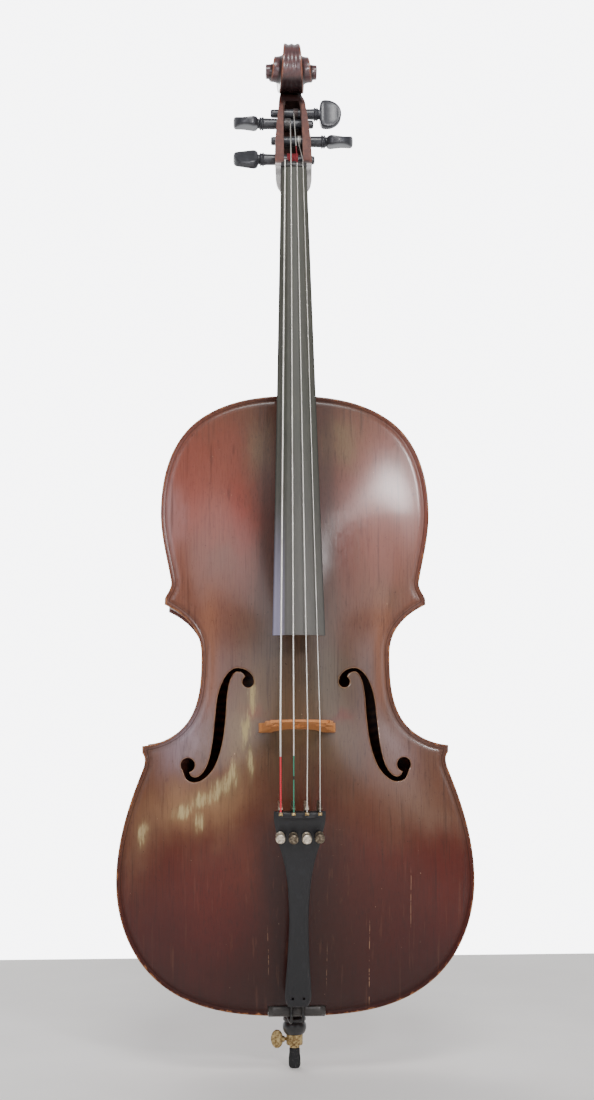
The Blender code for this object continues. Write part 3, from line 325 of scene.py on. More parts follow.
class Look:
    """A material whose nodes are made by short calls; each call returns a socket."""

    def __init__(self, name, roughness=0.5, metallic=0.0, coat=0.0, coat_roughness=0.2, level=0.5):
        self.made = bpy.data.materials.new(name)
        self.made.use_nodes = True
        self.tree = self.made.node_tree
        self.shader = self.tree.nodes["Principled BSDF"]
        self.place = self.tree.nodes.new("ShaderNodeTexCoord").outputs["Object"]
        for key, value in (("Roughness", roughness), ("Metallic", metallic), ("Coat Weight", coat),
                           ("Coat Roughness", coat_roughness), ("Specular IOR Level", level)):
            self.shader.inputs[key].default_value = value

    def feed(self, socket, value):
        """Set a socket, or link it if the value is another node's output."""
        if isinstance(value, bpy.types.NodeSocket):
            self.tree.links.new(value, socket)
        else:
            socket.default_value = value

    def maths(self, operation, a, b=0.0, c=0.0):
        """One Math node."""
        made = self.tree.nodes.new("ShaderNodeMath")
        made.operation = operation
        for socket, value in zip(made.inputs, (a, b, c)):
            self.feed(socket, value)
        return made.outputs[0]

    def add(self, a, b):
        """The sum of two values."""
        return self.maths("ADD", a, b)

    def times(self, a, b):
        """The product of two values."""
        return self.maths("MULTIPLY", a, b)

    def tint(self, colour, tone, mask, amount):
        """A colour with an everyday tone laid over it where the mask is."""
        return self.blend(colour, shade(*tone), self.times(mask, amount))

    def most(self, values):
        """The highest of several values."""
        highest = values[0]
        for value in values[1:]:
            highest = self.maths("MAXIMUM", highest, value)
        return highest

    def lacking(self, a):
        """One minus a value."""
        return self.maths("SUBTRACT", 1.0, a)

    def axis(self, name):
        """The place along X, Y or Z in millimetres; Z counts from the body's bottom edge."""
        split = self.tree.nodes.new("ShaderNodeSeparateXYZ")
        self.feed(split.inputs[0], self.place)
        return self.maths("MULTIPLY_ADD", split.outputs[name], 1 / MM, -BODY_Z if name == "Z" else 0.0)

    def tagged(self, name):
        """A vertex attribute's value."""
        made = self.tree.nodes.new("ShaderNodeAttribute")
        made.attribute_name = name
        return made.outputs["Fac"]

    def noise(self, size, stretch=(1, 1, 1), detail=2.0, rough=0.5, shift=0.0):
        """Noise with features of a size in millimetres, drawn out by stretch along X, Y and Z."""
        moved = self.tree.nodes.new("ShaderNodeMapping")
        self.feed(moved.inputs["Vector"], self.place)
        moved.inputs["Location"].default_value = (shift, shift * 1.7, shift * 0.6)
        moved.inputs["Scale"].default_value = tuple(1 / (MM * size * s) for s in stretch)
        made = self.tree.nodes.new("ShaderNodeTexNoise")
        self.feed(made.inputs["Vector"], moved.outputs[0])
        made.inputs["Scale"].default_value = 1.0
        made.inputs["Detail"].default_value = detail
        made.inputs["Roughness"].default_value = rough
        return made.outputs["Fac"]

    def step(self, value, low, high):
        """A smooth step from 0 at low to 1 at high; low may be above high."""
        made = self.tree.nodes.new("ShaderNodeMapRange")
        made.interpolation_type = "SMOOTHSTEP"
        turned_round = low > high
        for key, amount in (("Value", value), ("From Min", min(low, high)), ("From Max", max(low, high)),
                            ("To Min", float(turned_round)), ("To Max", float(not turned_round))):
            self.feed(made.inputs[key], amount)
        return made.outputs[0]

    def band(self, value, low, high, soft):
        """1 between low and high, 0 outside, with soft edges."""
        return self.times(self.step(value, low - soft, low + soft),
                          self.step(value, high + soft, high - soft))

    def spot(self, here, x, z, reach_x, reach_z, lean=0.0):
        """1 at a place, fading away over its reach; lean slants it by x per z."""
        across = self.maths("MULTIPLY_ADD", here[1], -lean, here[0])
        across = self.times(self.maths("SUBTRACT", across, x - z * lean), 1 / reach_x)
        along = self.times(self.maths("SUBTRACT", here[1], z), 1 / reach_z)
        far = self.add(self.times(across, across), self.times(along, along))
        return self.maths("EXPONENT", self.times(far, -2.2))

    def blend(self, a, b, share):
        """Two colours mixed by a share of the second."""
        made = self.tree.nodes.new("ShaderNodeMix")
        made.data_type = "RGBA"
        self.feed(made.inputs[0], share)
        self.feed(made.inputs[6], a)
        self.feed(made.inputs[7], b)
        return made.outputs[2]

    def ramp(self, value, stops):
        """A colour ramp: stops are (place, colour)."""
        made = self.tree.nodes.new("ShaderNodeValToRGB")
        self.feed(made.inputs[0], value)
        band = made.color_ramp.elements
        while len(band) < len(stops):
            band.new(0.5)
        for stop, (place, colour) in zip(band, stops):
            stop.position = place
            stop.color = colour
        return made.outputs[0]

    def bump(self, *layers):
        """Stacked bumps: each layer is (height, depth in millimetres)."""
        normal = None
        for height, depth in layers:
            made = self.tree.nodes.new("ShaderNodeBump")
            self.feed(made.inputs["Height"], height)
            made.inputs["Distance"].default_value = depth * MM
            if normal:
                self.tree.links.new(normal, made.inputs["Normal"])
            normal = made.outputs[0]
        self.tree.links.new(normal, self.shader.inputs["Normal"])

    def finish(self, colour, roughness=None):
        """Link the colour and, where it varies, the roughness."""
        self.feed(self.shader.inputs["Base Color"], colour)
        if roughness is not None:
            self.feed(self.shader.inputs["Roughness"], roughness)
        return self.made


def rim_marks(look, colour, rim, line):
    """Plate edges: a worn rim and the dark inlaid line that follows it."""
    edge = look.tagged("edge")
    ragged = look.noise(7, (1, 1, 1.6), 4.0, 0.65, 3.0)
    border = look.times(look.step(edge, 6.5, 2.0), 0.5)
    colour = look.blend(colour, shade(58, 24, 18), border)
    nearness = look.add(edge, look.times(look.add(ragged, -0.5), 9.0))
    colour = look.blend(colour, rim, look.times(look.step(nearness, 2.4, 0.2), 0.9))
    inlay = look.band(edge, 4.9, 6.1, 0.35)
    colour = look.blend(colour, line, look.times(inlay, 0.55))
    grime = look.band(edge, 6.5, 9.5, 2.5)
    return look.tint(colour, (44, 22, 17), grime, 0.3)


# the belly's tones up from its bottom edge, as shares of its length: flanks, then the middle
# the dark low end is partly the varnish's own tone and partly painted shade where less light falls
FLANK_TONES = [(0.0, (40, 12, 8)), (0.13, (60, 16, 10)), (0.24, (76, 26, 15)), (0.34, (92, 54, 36)),
               (0.44, (96, 68, 56)), (0.56, (98, 66, 54)), (0.68, (112, 68, 52)), (0.8, (124, 68, 54)),
               (0.92, (112, 60, 46)), (1.0, (92, 60, 44))]
MIDDLE_TONES = [(0.0, (38, 12, 7)), (0.14, (46, 14, 8)), (0.26, (54, 20, 12)), (0.34, (74, 38, 25)),
                (0.43, (92, 70, 48)), (0.56, (80, 63, 48)), (0.67, (76, 50, 38)), (0.8, (72, 38, 30)),
                (1.0, (76, 46, 34))]
# clouds of tone on the belly, and patches of painted sheen marked below: x, z, reach across, reach along,
# lean, colour, share
CLOUDS_AND_SHEEN = [
    (-122, 244, 84, 44, 0.7, (142, 108, 76), 0.7),
    (-70, 322, 38, 84, 0.25, (118, 98, 66), 0.5),
    (-184, 200, 36, 64, 0.2, (110, 84, 62), 0.45),
    (156, 246, 70, 46, -0.6, (112, 88, 72), 0.5),
    # painted sheen: grey-lilac reflection outside the bass f-hole
    (-140, 330, 32, 60, 0.1, (150, 134, 144), 0.6),
    (-112, 380, 20, 60, 0.2, (132, 100, 98), 0.4),
    # painted sheen: greyish reflection outside the treble f-hole
    (130, 322, 28, 50, -0.1, (124, 98, 98), 0.45),
    (84, 384, 30, 60, 0.0, (58, 38, 30), 0.55),
    (66, 310, 36, 60, 0.0, (72, 52, 40), 0.45),
    (-104, 130, 76, 90, 0.0, (88, 22, 14), 0.4),
    (-62, 186, 30, 70, 0.0, (96, 42, 22), 0.45),
    (178, 150, 40, 86, 0.0, (84, 22, 13), 0.45),
    (70, 108, 60, 90, 0.0, (54, 22, 14), 0.45),
    (46, 400, 40, 70, 0.0, (76, 66, 50), 0.5),
    (-50, 352, 18, 13, 0.0, (112, 36, 24), 0.6),
    (54, 353, 24, 12, 0.0, (100, 38, 28), 0.5),
    (-86, 302, 20, 16, 0.0, (100, 40, 28), 0.4),
    (94, 352, 12, 60, 0.1, (88, 38, 32), 0.5),
    (-130, 625, 50, 90, 0.0, (136, 66, 54), 0.4),
    (-68, 600, 26, 80, 0.0, (128, 48, 34), 0.5),
    # painted sheen: pinkish-grey reflection on the upper bass bout
    (-152, 590, 26, 60, 0.0, (142, 108, 106), 0.5),
    (-92, 545, 48, 40, 0.0, (104, 74, 62), 0.5),
    (64, 560, 26, 80, 0.0, (104, 50, 42), 0.45),
    (60, 694, 40, 40, 0.0, (104, 90, 60), 0.55),
    (-46, 690, 24, 46, 0.0, (100, 86, 62), 0.5),
    (112, 500, 40, 40, 0.0, (94, 72, 56), 0.5),
    (140, 690, 28, 50, 0.0, (124, 84, 74), 0.45),
]
# places worn to bare wood: x, z, reach across, reach along, lean
BARE_PLACES = [(-52, 376, 10, 32, 0.0), (-61, 338, 9, 34, 0.1), (-80, 284, 13, 32, 0.25),
               (-97, 268, 13, 24, 0.4), (-114, 254, 17, 19, 0.6), (-136, 240, 17, 15, 0.6),
               (-56, 300, 6, 30, 0.0), (-118, 226, 10, 18, 0.0), (-184, 214, 8, 22, 0.0)]
# open seams: x, lowest z, highest z, share
SEAMS = [(87, 14, 108, 0.7), (137, 106, 168, 0.5), (36, 36, 80, 0.3), (-34, 50, 102, 0.4)]


def belly_look():
    """Old spruce top: red-brown varnish worn to olive in the middle, with bare patches and seams, painted
    sheen beside the f-holes and on the upper bass bout, and darker towards the bottom partly as painted
    shade.
    """
    look = Look("belly_varnish", coat=0.4, coat_roughness=0.17, level=0.2)
    x, z = look.axis("X"), look.axis("Z")
    wide = look.maths("ABSOLUTE", x)
    wander = look.add(look.noise(60, (1, 1, 1.6), 3.0, 0.55, 0.0), -0.5)
    ragged = look.add(look.noise(34, (1, 1, 2.2), 4.0, 0.6, 50.0), -0.5)
    here = (look.maths("MULTIPLY_ADD", ragged, 46.0, x), look.maths("MULTIPLY_ADD", wander, 90.0, z))
    streaks = look.noise(4.5, (1, 1, 24), 3.0, 0.6, 4.0)
    fine = look.noise(1.0, (1, 1, 60), 2.0, 0.6, 7.0)
    height = look.add(look.maths("MULTIPLY_ADD", wander, 80.0, z), look.times(look.add(streaks, -0.5), 50.0))
    share = look.times(height, 1 / BODY_LENGTH)
    flank = look.ramp(share, [(at, shade(*tone)) for at, tone in FLANK_TONES])
    middle = look.ramp(share, [(at, shade(*tone)) for at, tone in MIDDLE_TONES])
    across = look.add(wide, look.times(look.add(streaks, -0.5), 36.0))
    colour = look.blend(middle, flank, look.step(across, 26.0, 96.0))
    # clouds of tone, with the painted sheen patches among them
    for *place, tone, amount in CLOUDS_AND_SHEEN:
        colour = look.tint(colour, tone, look.spot(here, *place), amount)
    beside_board = look.times(look.band(wide, 34.0, 46.0, 10.0), look.step(height, 455.0, 580.0))
    colour = look.tint(colour, (52, 30, 24), beside_board, 0.5)
    waist_edge = look.times(look.band(wide, 96.0, 116.0, 9.0), look.band(z, 370.0, 505.0, 30.0))
    colour = look.tint(colour, (134, 84, 58), waist_edge, 0.5)

    near = (look.maths("MULTIPLY_ADD", ragged, 16.0, x), look.maths("MULTIPLY_ADD", wander, 26.0, z))
    bare = look.most([look.spot(near, *place) for place in BARE_PLACES])
    colour = look.tint(colour, (140, 120, 82), bare, 0.45)
    flakes = look.noise(4.2, (1, 1, 7), 4.0, 0.65, 17.0)
    worn = look.step(look.maths("MULTIPLY_ADD", bare, 0.24, flakes), 0.54, 0.82)
    worn = look.times(worn, look.step(bare, 0.05, 0.6))
    colour = look.tint(colour, (176, 160, 116), worn, 0.66)

    colour = look.tint(colour, (30, 14, 10), look.step(streaks, 0.54, 0.76), 0.4)
    colour = look.tint(colour, (128, 80, 58), look.step(streaks, 0.42, 0.28), 0.12)
    colour = look.tint(colour, (26, 13, 10), look.step(fine, 0.48, 0.8), 0.36)
    mottle = look.noise(3.2, (1, 1, 2.5), 4.0, 0.7, 21.0)
    colour = look.tint(colour, (34, 18, 14), look.step(mottle, 0.56, 0.74), 0.3)
    specks = look.noise(2.4, (1, 1, 1.2), 1.0, 0.5, 25.0)
    colour = look.tint(colour, (20, 11, 9), look.step(specks, 0.76, 0.8), 0.7)
    nicks = look.noise(2.6, (1, 1, 1.8), 1.0, 0.5, 29.0)
    colour = look.tint(colour, (176, 140, 108), look.step(nicks, 0.8, 0.83), 0.5)

    broken = look.step(look.noise(7, (1, 1, 1), 2.0, 0.6, 33.0), 0.38, 0.55)
    for x0, low_z, high_z, amount in SEAMS:
        wavering = look.maths("MULTIPLY_ADD", wander, 6.0, x)
        line = look.times(look.band(wavering, x0 - 0.3, x0 + 0.3, 0.4), look.band(z, low_z, high_z, 8.0))
        colour = look.tint(colour, (170, 130, 98), look.times(line, broken), amount)
    scratch = look.noise(1.6, (14, 1, 1), 2.0, 0.6, 37.0)
    scratched = look.times(look.step(scratch, 0.68, 0.76), look.spot(here, 52, 214, 26, 26))
    colour = look.tint(colour, (176, 138, 110), scratched, 0.6)

    hole_edge = look.add(look.tagged("hole"), look.times(look.noise(5, (1, 1, 1), 2.0, 0.6, 41.0), 1.6))
    colour = look.tint(colour, (170, 128, 92), look.step(hole_edge, 2.0, 0.8), 0.6)
    colour = rim_marks(look, colour, shade(150, 98, 62), shade(30, 15, 11))
    rough = look.add(0.36, look.add(look.times(worn, 0.3), look.times(look.add(mottle, -0.5), 0.35)))
    rubbed = look.lacking(look.times(look.spot((x, z), 52, 566, 62, 92), 0.97))
    rubbed = look.times(rubbed, look.lacking(look.times(look.step(look.tagged("edge"), 10.0, 6.0), 0.8)))
    look.feed(look.shader.inputs["Coat Weight"], look.times(look.times(rubbed, look.lacking(worn)), 0.4))
    swells = look.noise(130, (1, 1, 1), 1.0, 0.5, 45.0)
    look.bump((fine, 0.04), (streaks, 0.1), (mottle, 0.05), (swells, 1.0))
    return look.finish(colour, rough)


def maple_look(name, flame_from, dark, light, rim=False, roughness=0.32):
    """Varnished flamed maple; flame_from is the axis or attribute that the stripes cross."""
    look = Look(name, coat=0.6, coat_roughness=0.2, level=0.4)
    along = look.tagged("along") if flame_from == "along" else look.axis(flame_from)
    bend = look.add(look.noise(34, (1, 1, 1), 2.0, 0.5, 2.0), -0.5)
    wave = look.maths("SINE", look.add(look.times(along, 0.62), look.times(bend, 15.0)))
    strength = look.noise(60, (1, 1, 1), 2.0, 0.5, 6.0)
    flame = look.times(look.maths("MULTIPLY_ADD", wave, 0.5, 0.5), look.step(strength, 0.3, 0.62))
    colour = look.blend(dark, light, look.times(flame, 0.62))
    patches = look.noise(90, (1, 1, 1.5), 3.0, 0.55, 12.0)
    colour = look.tint(colour, (168, 116, 76), look.step(patches, 0.56, 0.72), 0.5)
    colour = look.tint(colour, (50, 24, 20), look.step(patches, 0.46, 0.3), 0.5)
    pores = look.noise(0.9, (1, 1, 16), 2.0, 0.6, 8.0)
    colour = look.tint(colour, (44, 22, 16), look.step(pores, 0.56, 0.78), 0.4)
    specks = look.noise(2.6, (1, 1, 1.2), 1.0, 0.5, 14.0)
    colour = look.tint(colour, (28, 16, 12), look.step(specks, 0.76, 0.8), 0.6)
    if rim:
        colour = rim_marks(look, colour, shade(160, 110, 76), shade(40, 22, 18))
    look.bump((pores, 0.04), (look.noise(40, (1, 1, 1), 1.0, 0.5, 18.0), 0.5))
    return look.finish(colour, look.add(roughness, look.times(look.add(patches, -0.5), 0.3)))


def neck_look():
    """The neck: red-brown head with orange worn edges, bare greyed maple where the hand slides, and painted
    shade in the throat under the scroll and inside the pegbox.
    """
    look = Look("neck_varnish", coat=0.5, coat_roughness=0.18, level=0.4)
    z, y = look.axis("Z"), look.axis("Y")
    wander = look.add(look.noise(22, (1, 1, 1), 3.0, 0.6, 5.0), -0.5)
    bend = look.add(look.noise(26, (1, 1, 1), 2.0, 0.5, 2.0), -0.5)
    wave = look.maths("SINE", look.add(look.times(z, 0.75), look.times(bend, 14.0)))
    flame = look.maths("MULTIPLY_ADD", wave, 0.5, 0.5)
    head = look.blend(shade(58, 20, 15), shade(98, 42, 28), look.add(look.times(flame, 0.4), wander))
    bare = look.blend(shade(150, 120, 98), shade(176, 146, 120), flame)
    height = look.maths("MULTIPLY_ADD", wander, 40.0, z)
    hand = look.times(look.step(height, 800.0, 850.0), look.step(height, 1066.0, 1046.0))
    colour = look.blend(head, bare, look.times(hand, 0.85))
    scuffs = look.step(look.noise(9, (1, 1, 3), 3.0, 0.6, 9.0), 0.46, 0.66)
    cheeks = look.band(height, 1070.0, 1170.0, 10.0)
    colour = look.tint(colour, (132, 102, 96), cheeks, 0.42)
    colour = look.tint(colour, (142, 96, 78), look.times(cheeks, scuffs), 0.4)
    ends = look.times(look.band(height, 1024.0, 1066.0, 5.0), 0.9)
    colour = look.blend(colour, shade(50, 46, 46), ends)
    colour = look.tint(colour, (112, 96, 100), look.step(z, 1196.0, 1216.0), 0.34)
    worn = look.times(look.step(look.tagged("ridge"), 0.35, 0.95), look.step(z, 1176.0, 1200.0))
    colour = look.tint(colour, (158, 90, 54), worn, 0.5)
    # painted shade: the pegbox's throat and the scroll's underside darkened where the scroll shadows them
    throat_shade = look.times(look.band(z, 1168.0, 1206.0, 5.0), look.step(y, 50.0, 44.0))
    throat_shade = look.times(throat_shade, look.step(look.maths("ABSOLUTE", look.axis("X")), 15.5, 13.5))
    colour = look.tint(colour, (34, 26, 28), throat_shade, 0.85)
    hollow = look.step(look.tagged("ridge"), -0.25, -0.9)
    colour = look.tint(colour, (30, 16, 14), hollow, 0.75)
    # painted shade: the inside of the pegbox darkened
    inside = look.times(look.step(look.maths("ABSOLUTE", look.axis("X")), 12.8, 12.2),
                        look.times(look.band(z, 1066.0, 1176.0, 1.0), look.step(y, 26.0, 24.0)))
    colour = look.tint(colour, (44, 30, 26), inside, 0.8)
    pores = look.noise(0.8, (1, 1, 14), 2.0, 0.6, 8.0)
    colour = look.tint(colour, (36, 20, 16), look.step(pores, 0.56, 0.78), 0.35)
    look.bump((pores, 0.03), (look.noise(14, (1, 1, 1), 2.0, 0.5, 18.0), 0.2))
    return look.finish(colour, look.add(0.34, look.times(hand, 0.18)))


def plain_wood_look(name, pale, deep, grain_axis="Z", roughness=0.7):
    """Bare wood for the bridge and the pieces inside the body."""
    look = Look(name, roughness=roughness, level=0.3)
    stretch = {"Z": (1, 1, 22), "X": (22, 1, 1), "Y": (1, 22, 1)}[grain_axis]
    rings = look.noise(1.7, stretch, 3.0, 0.6, 1.0)
    broad = look.noise(14, stretch, 2.0, 0.5, 3.0)
    colour = look.blend(pale, deep, look.add(look.times(rings, 0.6), look.times(broad, 0.4)))
    flecks = look.noise(0.8, stretch, 1.0, 0.5, 5.0)
    colour = look.tint(colour, (70, 36, 18), look.step(flecks, 0.62, 0.75), 0.45)
    look.bump((rings, 0.05))
    return look.finish(colour, look.add(roughness - 0.1, look.times(broad, 0.2)))


def board_look():
    """The fingerboard: worn grey-brown with paler bands under the strings, and a painted lilac reflection on
    the flat under the C string.
    """
    look = Look("board_ebony", coat=0.05, coat_roughness=0.4, level=0.26)
    across, z = look.tagged("across"), look.axis("Z")
    grain = look.noise(1.5, (1, 1, 40), 3.0, 0.6, 3.0)
    broad = look.noise(7, (1, 1, 24), 2.0, 0.5, 6.0)
    depth = look.add(look.times(grain, 0.55), look.times(broad, 0.45))
    colour = look.blend(shade(44, 44, 41), shade(80, 80, 71), depth)
    tracks = look.most([look.band(across, place - 0.045, place + 0.045, 0.05)
                        for place in (-0.66, -0.22, 0.24, 0.68)])
    patchy = look.step(look.noise(11, (1, 1, 5), 3.0, 0.6, 9.0), 0.38, 0.6)
    played = look.times(tracks, look.times(patchy, look.step(z, 560.0, 1040.0)))
    colour = look.tint(colour, (122, 119, 104), played, 0.5)
    colour = look.tint(colour, (108, 104, 102), look.step(z, 720.0, 470.0), 0.35)
    # painted reflection: a lilac window reflection on the flat under the C string, low on the board
    facet_reflection = look.times(look.step(across, -0.5, -0.7), look.step(z, 620.0, 470.0))
    colour = look.tint(colour, (150, 145, 172), facet_reflection, 0.6)
    edges = look.step(look.maths("ABSOLUTE", across), 0.93, 1.0)
    colour = look.tint(colour, (30, 26, 26), edges, 0.6)
    under = look.step(look.tagged("under"), 0.3, 0.7)
    colour = look.tint(colour, (24, 21, 22), under, 0.9)
    look.bump((grain, 0.04), (broad, 0.06))
    return look.finish(colour, look.add(0.4, look.times(grain, 0.2)))


def dark_look(name, base, light, roughness=0.42, streak=(1, 1, 20), coat=0.2):
    """Ebony and other near-black parts, with faint grain and rubbed lighter spots."""
    look = Look(name, coat=coat, coat_roughness=0.28, level=0.45)
    grain = look.noise(1.2, streak, 3.0, 0.6, 2.0)
    rubbed = look.noise(9, (1, 1, 1), 4.0, 0.6, 7.0)
    colour = look.blend(base, light, look.times(grain, 0.55))
    colour = look.blend(colour, light, look.times(look.step(rubbed, 0.55, 0.72), 0.6))
    dust = look.noise(0.7, (1, 1, 1), 1.0, 0.5, 12.0)
    colour = look.tint(colour, (120, 116, 112), look.step(dust, 0.76, 0.82), 0.35)
    look.bump((grain, 0.03), (rubbed, 0.05))
    return look.finish(colour, look.add(roughness - 0.08, look.times(rubbed, 0.2)))


def metal_look(name, bright, tarnish, amount, roughness=0.28):
    """Plated metal with tarnish, fine scratches and grime."""
    look = Look(name, metallic=1.0, level=0.5)
    patches = look.noise(2.6, (1, 1, 1), 4.0, 0.6, 3.0)
    tarnished = look.step(patches, 0.5 - amount * 0.25, 0.75 - amount * 0.2)
    colour = look.blend(bright, tarnish, look.times(tarnished, 0.9))
    scratches = look.noise(0.5, (1, 9, 1), 2.0, 0.6, 8.0)
    look.bump((scratches, 0.012), (patches, 0.02))
    return look.finish(colour, look.add(roughness, look.times(patches, 0.3)))


def string_look(name, steel, silks=()):
    """Flat-wound steel with fine winding lines; silks are (lowest z, highest z, colour)."""
    look = Look(name, metallic=0.55, level=0.6)
    z = look.axis("Z")
    turns = look.maths("SINE", look.times(z, math.tau / 0.9))
    dirt = look.noise(8, (1, 1, 3), 3.0, 0.6, 4.0)
    colour = look.blend(steel, shade(150, 140, 126), look.times(look.step(dirt, 0.5, 0.7), 0.4))
    wrapped = None
    for low, high, silk in silks:
        share = look.band(z, low, high, 0.4)
        thread = look.maths("SINE", look.times(z, math.tau / 2.2))
        shaded = look.blend(silk, shade(30, 20, 20), look.maths("MULTIPLY_ADD", thread, 0.1, 0.1))
        colour = look.blend(colour, shaded, share)
        wrapped = share if wrapped is None else look.maths("MAXIMUM", wrapped, share)
    if wrapped is not None:
        look.feed(look.shader.inputs["Metallic"], look.maths("MULTIPLY_ADD", wrapped, -0.55, 0.55))
        look.bump((turns, 0.02))
        return look.finish(colour, look.maths("MULTIPLY_ADD", wrapped, 0.4, 0.3))
    look.bump((turns, 0.02))
    return look.finish(colour, look.add(0.22, look.times(dirt, 0.2)))


def rubber_look():
    """Dull grey-black rubber with scuffs."""
    look = Look("tip_rubber", level=0.3)
    scuffs = look.noise(2.2, (1, 1, 1), 4.0, 0.65, 3.0)
    colour = look.blend(shade(34, 34, 36), shade(78, 76, 74), look.step(scuffs, 0.52, 0.75))
    look.bump((look.noise(0.8, (1, 1, 1), 2.0, 0.6, 6.0), 0.05), (scuffs, 0.05))
    return look.finish(colour, look.add(0.55, look.times(scuffs, 0.3)))


BELLY = belly_look()
BACK = maple_look("back_varnish", "Z", shade(96, 44, 32), shade(146, 78, 50), rim=True)
RIBS = maple_look("rib_varnish", "along", shade(100, 50, 38), shade(150, 88, 60))
NECK = neck_look()
INNER = plain_wood_look("inner_spruce", shade(206, 172, 122), shade(158, 112, 66))
BRIDGE_WOOD = plain_wood_look("bridge_maple", shade(206, 142, 86), shade(148, 84, 42), "X", 0.55)
BOARD = board_look()
NUT_BLACK = dark_look("nut_ebony", shade(24, 22, 22), shade(74, 70, 68))
PEG_BLACK = dark_look("peg_ebony", shade(26, 25, 28), shade(86, 88, 94), 0.36, (20, 1, 1), 0.35)
TAIL_BLACK = dark_look("tail_black", shade(12, 12, 14), shade(30, 31, 35), 0.5, coat=0.1)
SADDLE_BLACK = dark_look("saddle_black", shade(20, 19, 20), shade(82, 76, 70), 0.42, (20, 1, 1))
PLUG_BLACK = dark_look("plug_ebony", shade(18, 18, 19), shade(54, 52, 52), 0.32, (1, 1, 1), 0.4)
LOOP_BLACK = dark_look("loop_nylon", shade(22, 22, 22), shade(60, 58, 56), 0.5, (1, 1, 1), 0.0)
NICKEL = metal_look("tuner_nickel", shade(214, 204, 186), shade(120, 104, 84), 0.2)
NICKEL_DULL = metal_look("tuner_dull", shade(150, 138, 120), shade(84, 74, 62), 0.8, 0.36)
BRASS = metal_look("ferrule_brass", shade(206, 182, 132), shade(118, 92, 58), 0.5)
ROD_STEEL = metal_look("rod_steel", shade(176, 172, 166), shade(100, 94, 86), 0.3)
RUBBER = rubber_look()
RED, GREEN = shade(206, 24, 48), shade(40, 122, 96)


# ---- plates --------------------------------------------------------------------------------------
EDGE_ROUND = 2.1         # radius of the plates' outer edge
RIM_DISTANCES = (0.0, 0.3, 0.9, 1.8, 2.9, 4.0, 5.2, 6.6, 8.2, 10.6, 14.0)
HOLE_DISTANCES = (0.0, 0.35, 0.9, 2.2)
GRID = 5.2               # spacing of the inner points


def whole_outline(step):
    """The closed outline of both halves, clockwise from the top's middle, points evenly spaced."""
    half = []
    for nodes in (UPPER_BOUT, WAIST, LOWER_BOUT):
        line = spaced(run_of(nodes, 40), step)
        half.append(line)
    half = np.vstack([half[0], spaced(np.array([half[0][-1], half[1][0]]), step)[1:-1], half[1],
                      spaced(np.array([half[1][-1], half[2][0]]), step)[1:-1], half[2]])
    keep = np.concatenate([[True], np.linalg.norm(np.diff(half, axis=0), axis=1) > 0.05])
    half = half[keep]
    return np.vstack([half, (half * (-1, 1))[::-1][1:-1]])


def inside(points, loop):
    """Which points lie inside a closed loop."""
    after = np.roll(loop, -1, axis=0)
    result = np.zeros(len(points), bool)
    for (x0, z0), (x1, z1) in zip(loop, after):
        if z0 != z1:
            crosses = (points[:, 1] < z0) != (points[:, 1] < z1)
            result ^= crosses & (points[:, 0] < x0 + (points[:, 1] - z0) / (z1 - z0) * (x1 - x0))
    return result


def distance_to(points, loop):
    """Each point's distance to a closed loop."""
    nearest = np.full(len(points), 1e9)
    for start, end in zip(loop, np.roll(loop, -1, axis=0)):
        way = end - start
        share = np.clip((points - start) @ way / max(way @ way, 1e-9), 0, 1)
        nearest = np.minimum(nearest, np.linalg.norm(points - start - share[:, None] * way, axis=1))
    return nearest


def ring_inside(loop, distance, step):
    """Points at a distance inside a clockwise loop, thinned where the loop turns sharply."""
    closed_loop = np.vstack([loop, loop[:1]])
    points = spaced(closed_loop, step)[:-1]
    tangent = np.roll(points, -1, axis=0) - np.roll(points, 1, axis=0)
    tangent /= np.linalg.norm(tangent, axis=1)[:, None]
    moved = points + distance * np.column_stack([tangent[:, 1], -tangent[:, 0]])
    return moved[distance_to(moved, loop) > distance - 0.04]


def f_hole_loops(side):
    """One f-hole as a stem and two eyes."""
    line = smooth(F_STEM, 8)
    way = offset(line[:, :2], 1.0) - line[:, :2]
    width = line[:, 2:3] / 2
    stem = np.vstack([line[:, :2] + way * width, (line[:, :2] - way * width)[::-1]])
    angles = np.linspace(0, math.tau, 40, endpoint=False)
    eyes = [np.column_stack([x + r * np.cos(angles), z + r * np.sin(angles)]) for x, z, r in F_EYES]
    return [loop * (side, 1) for loop in (stem, *eyes)]


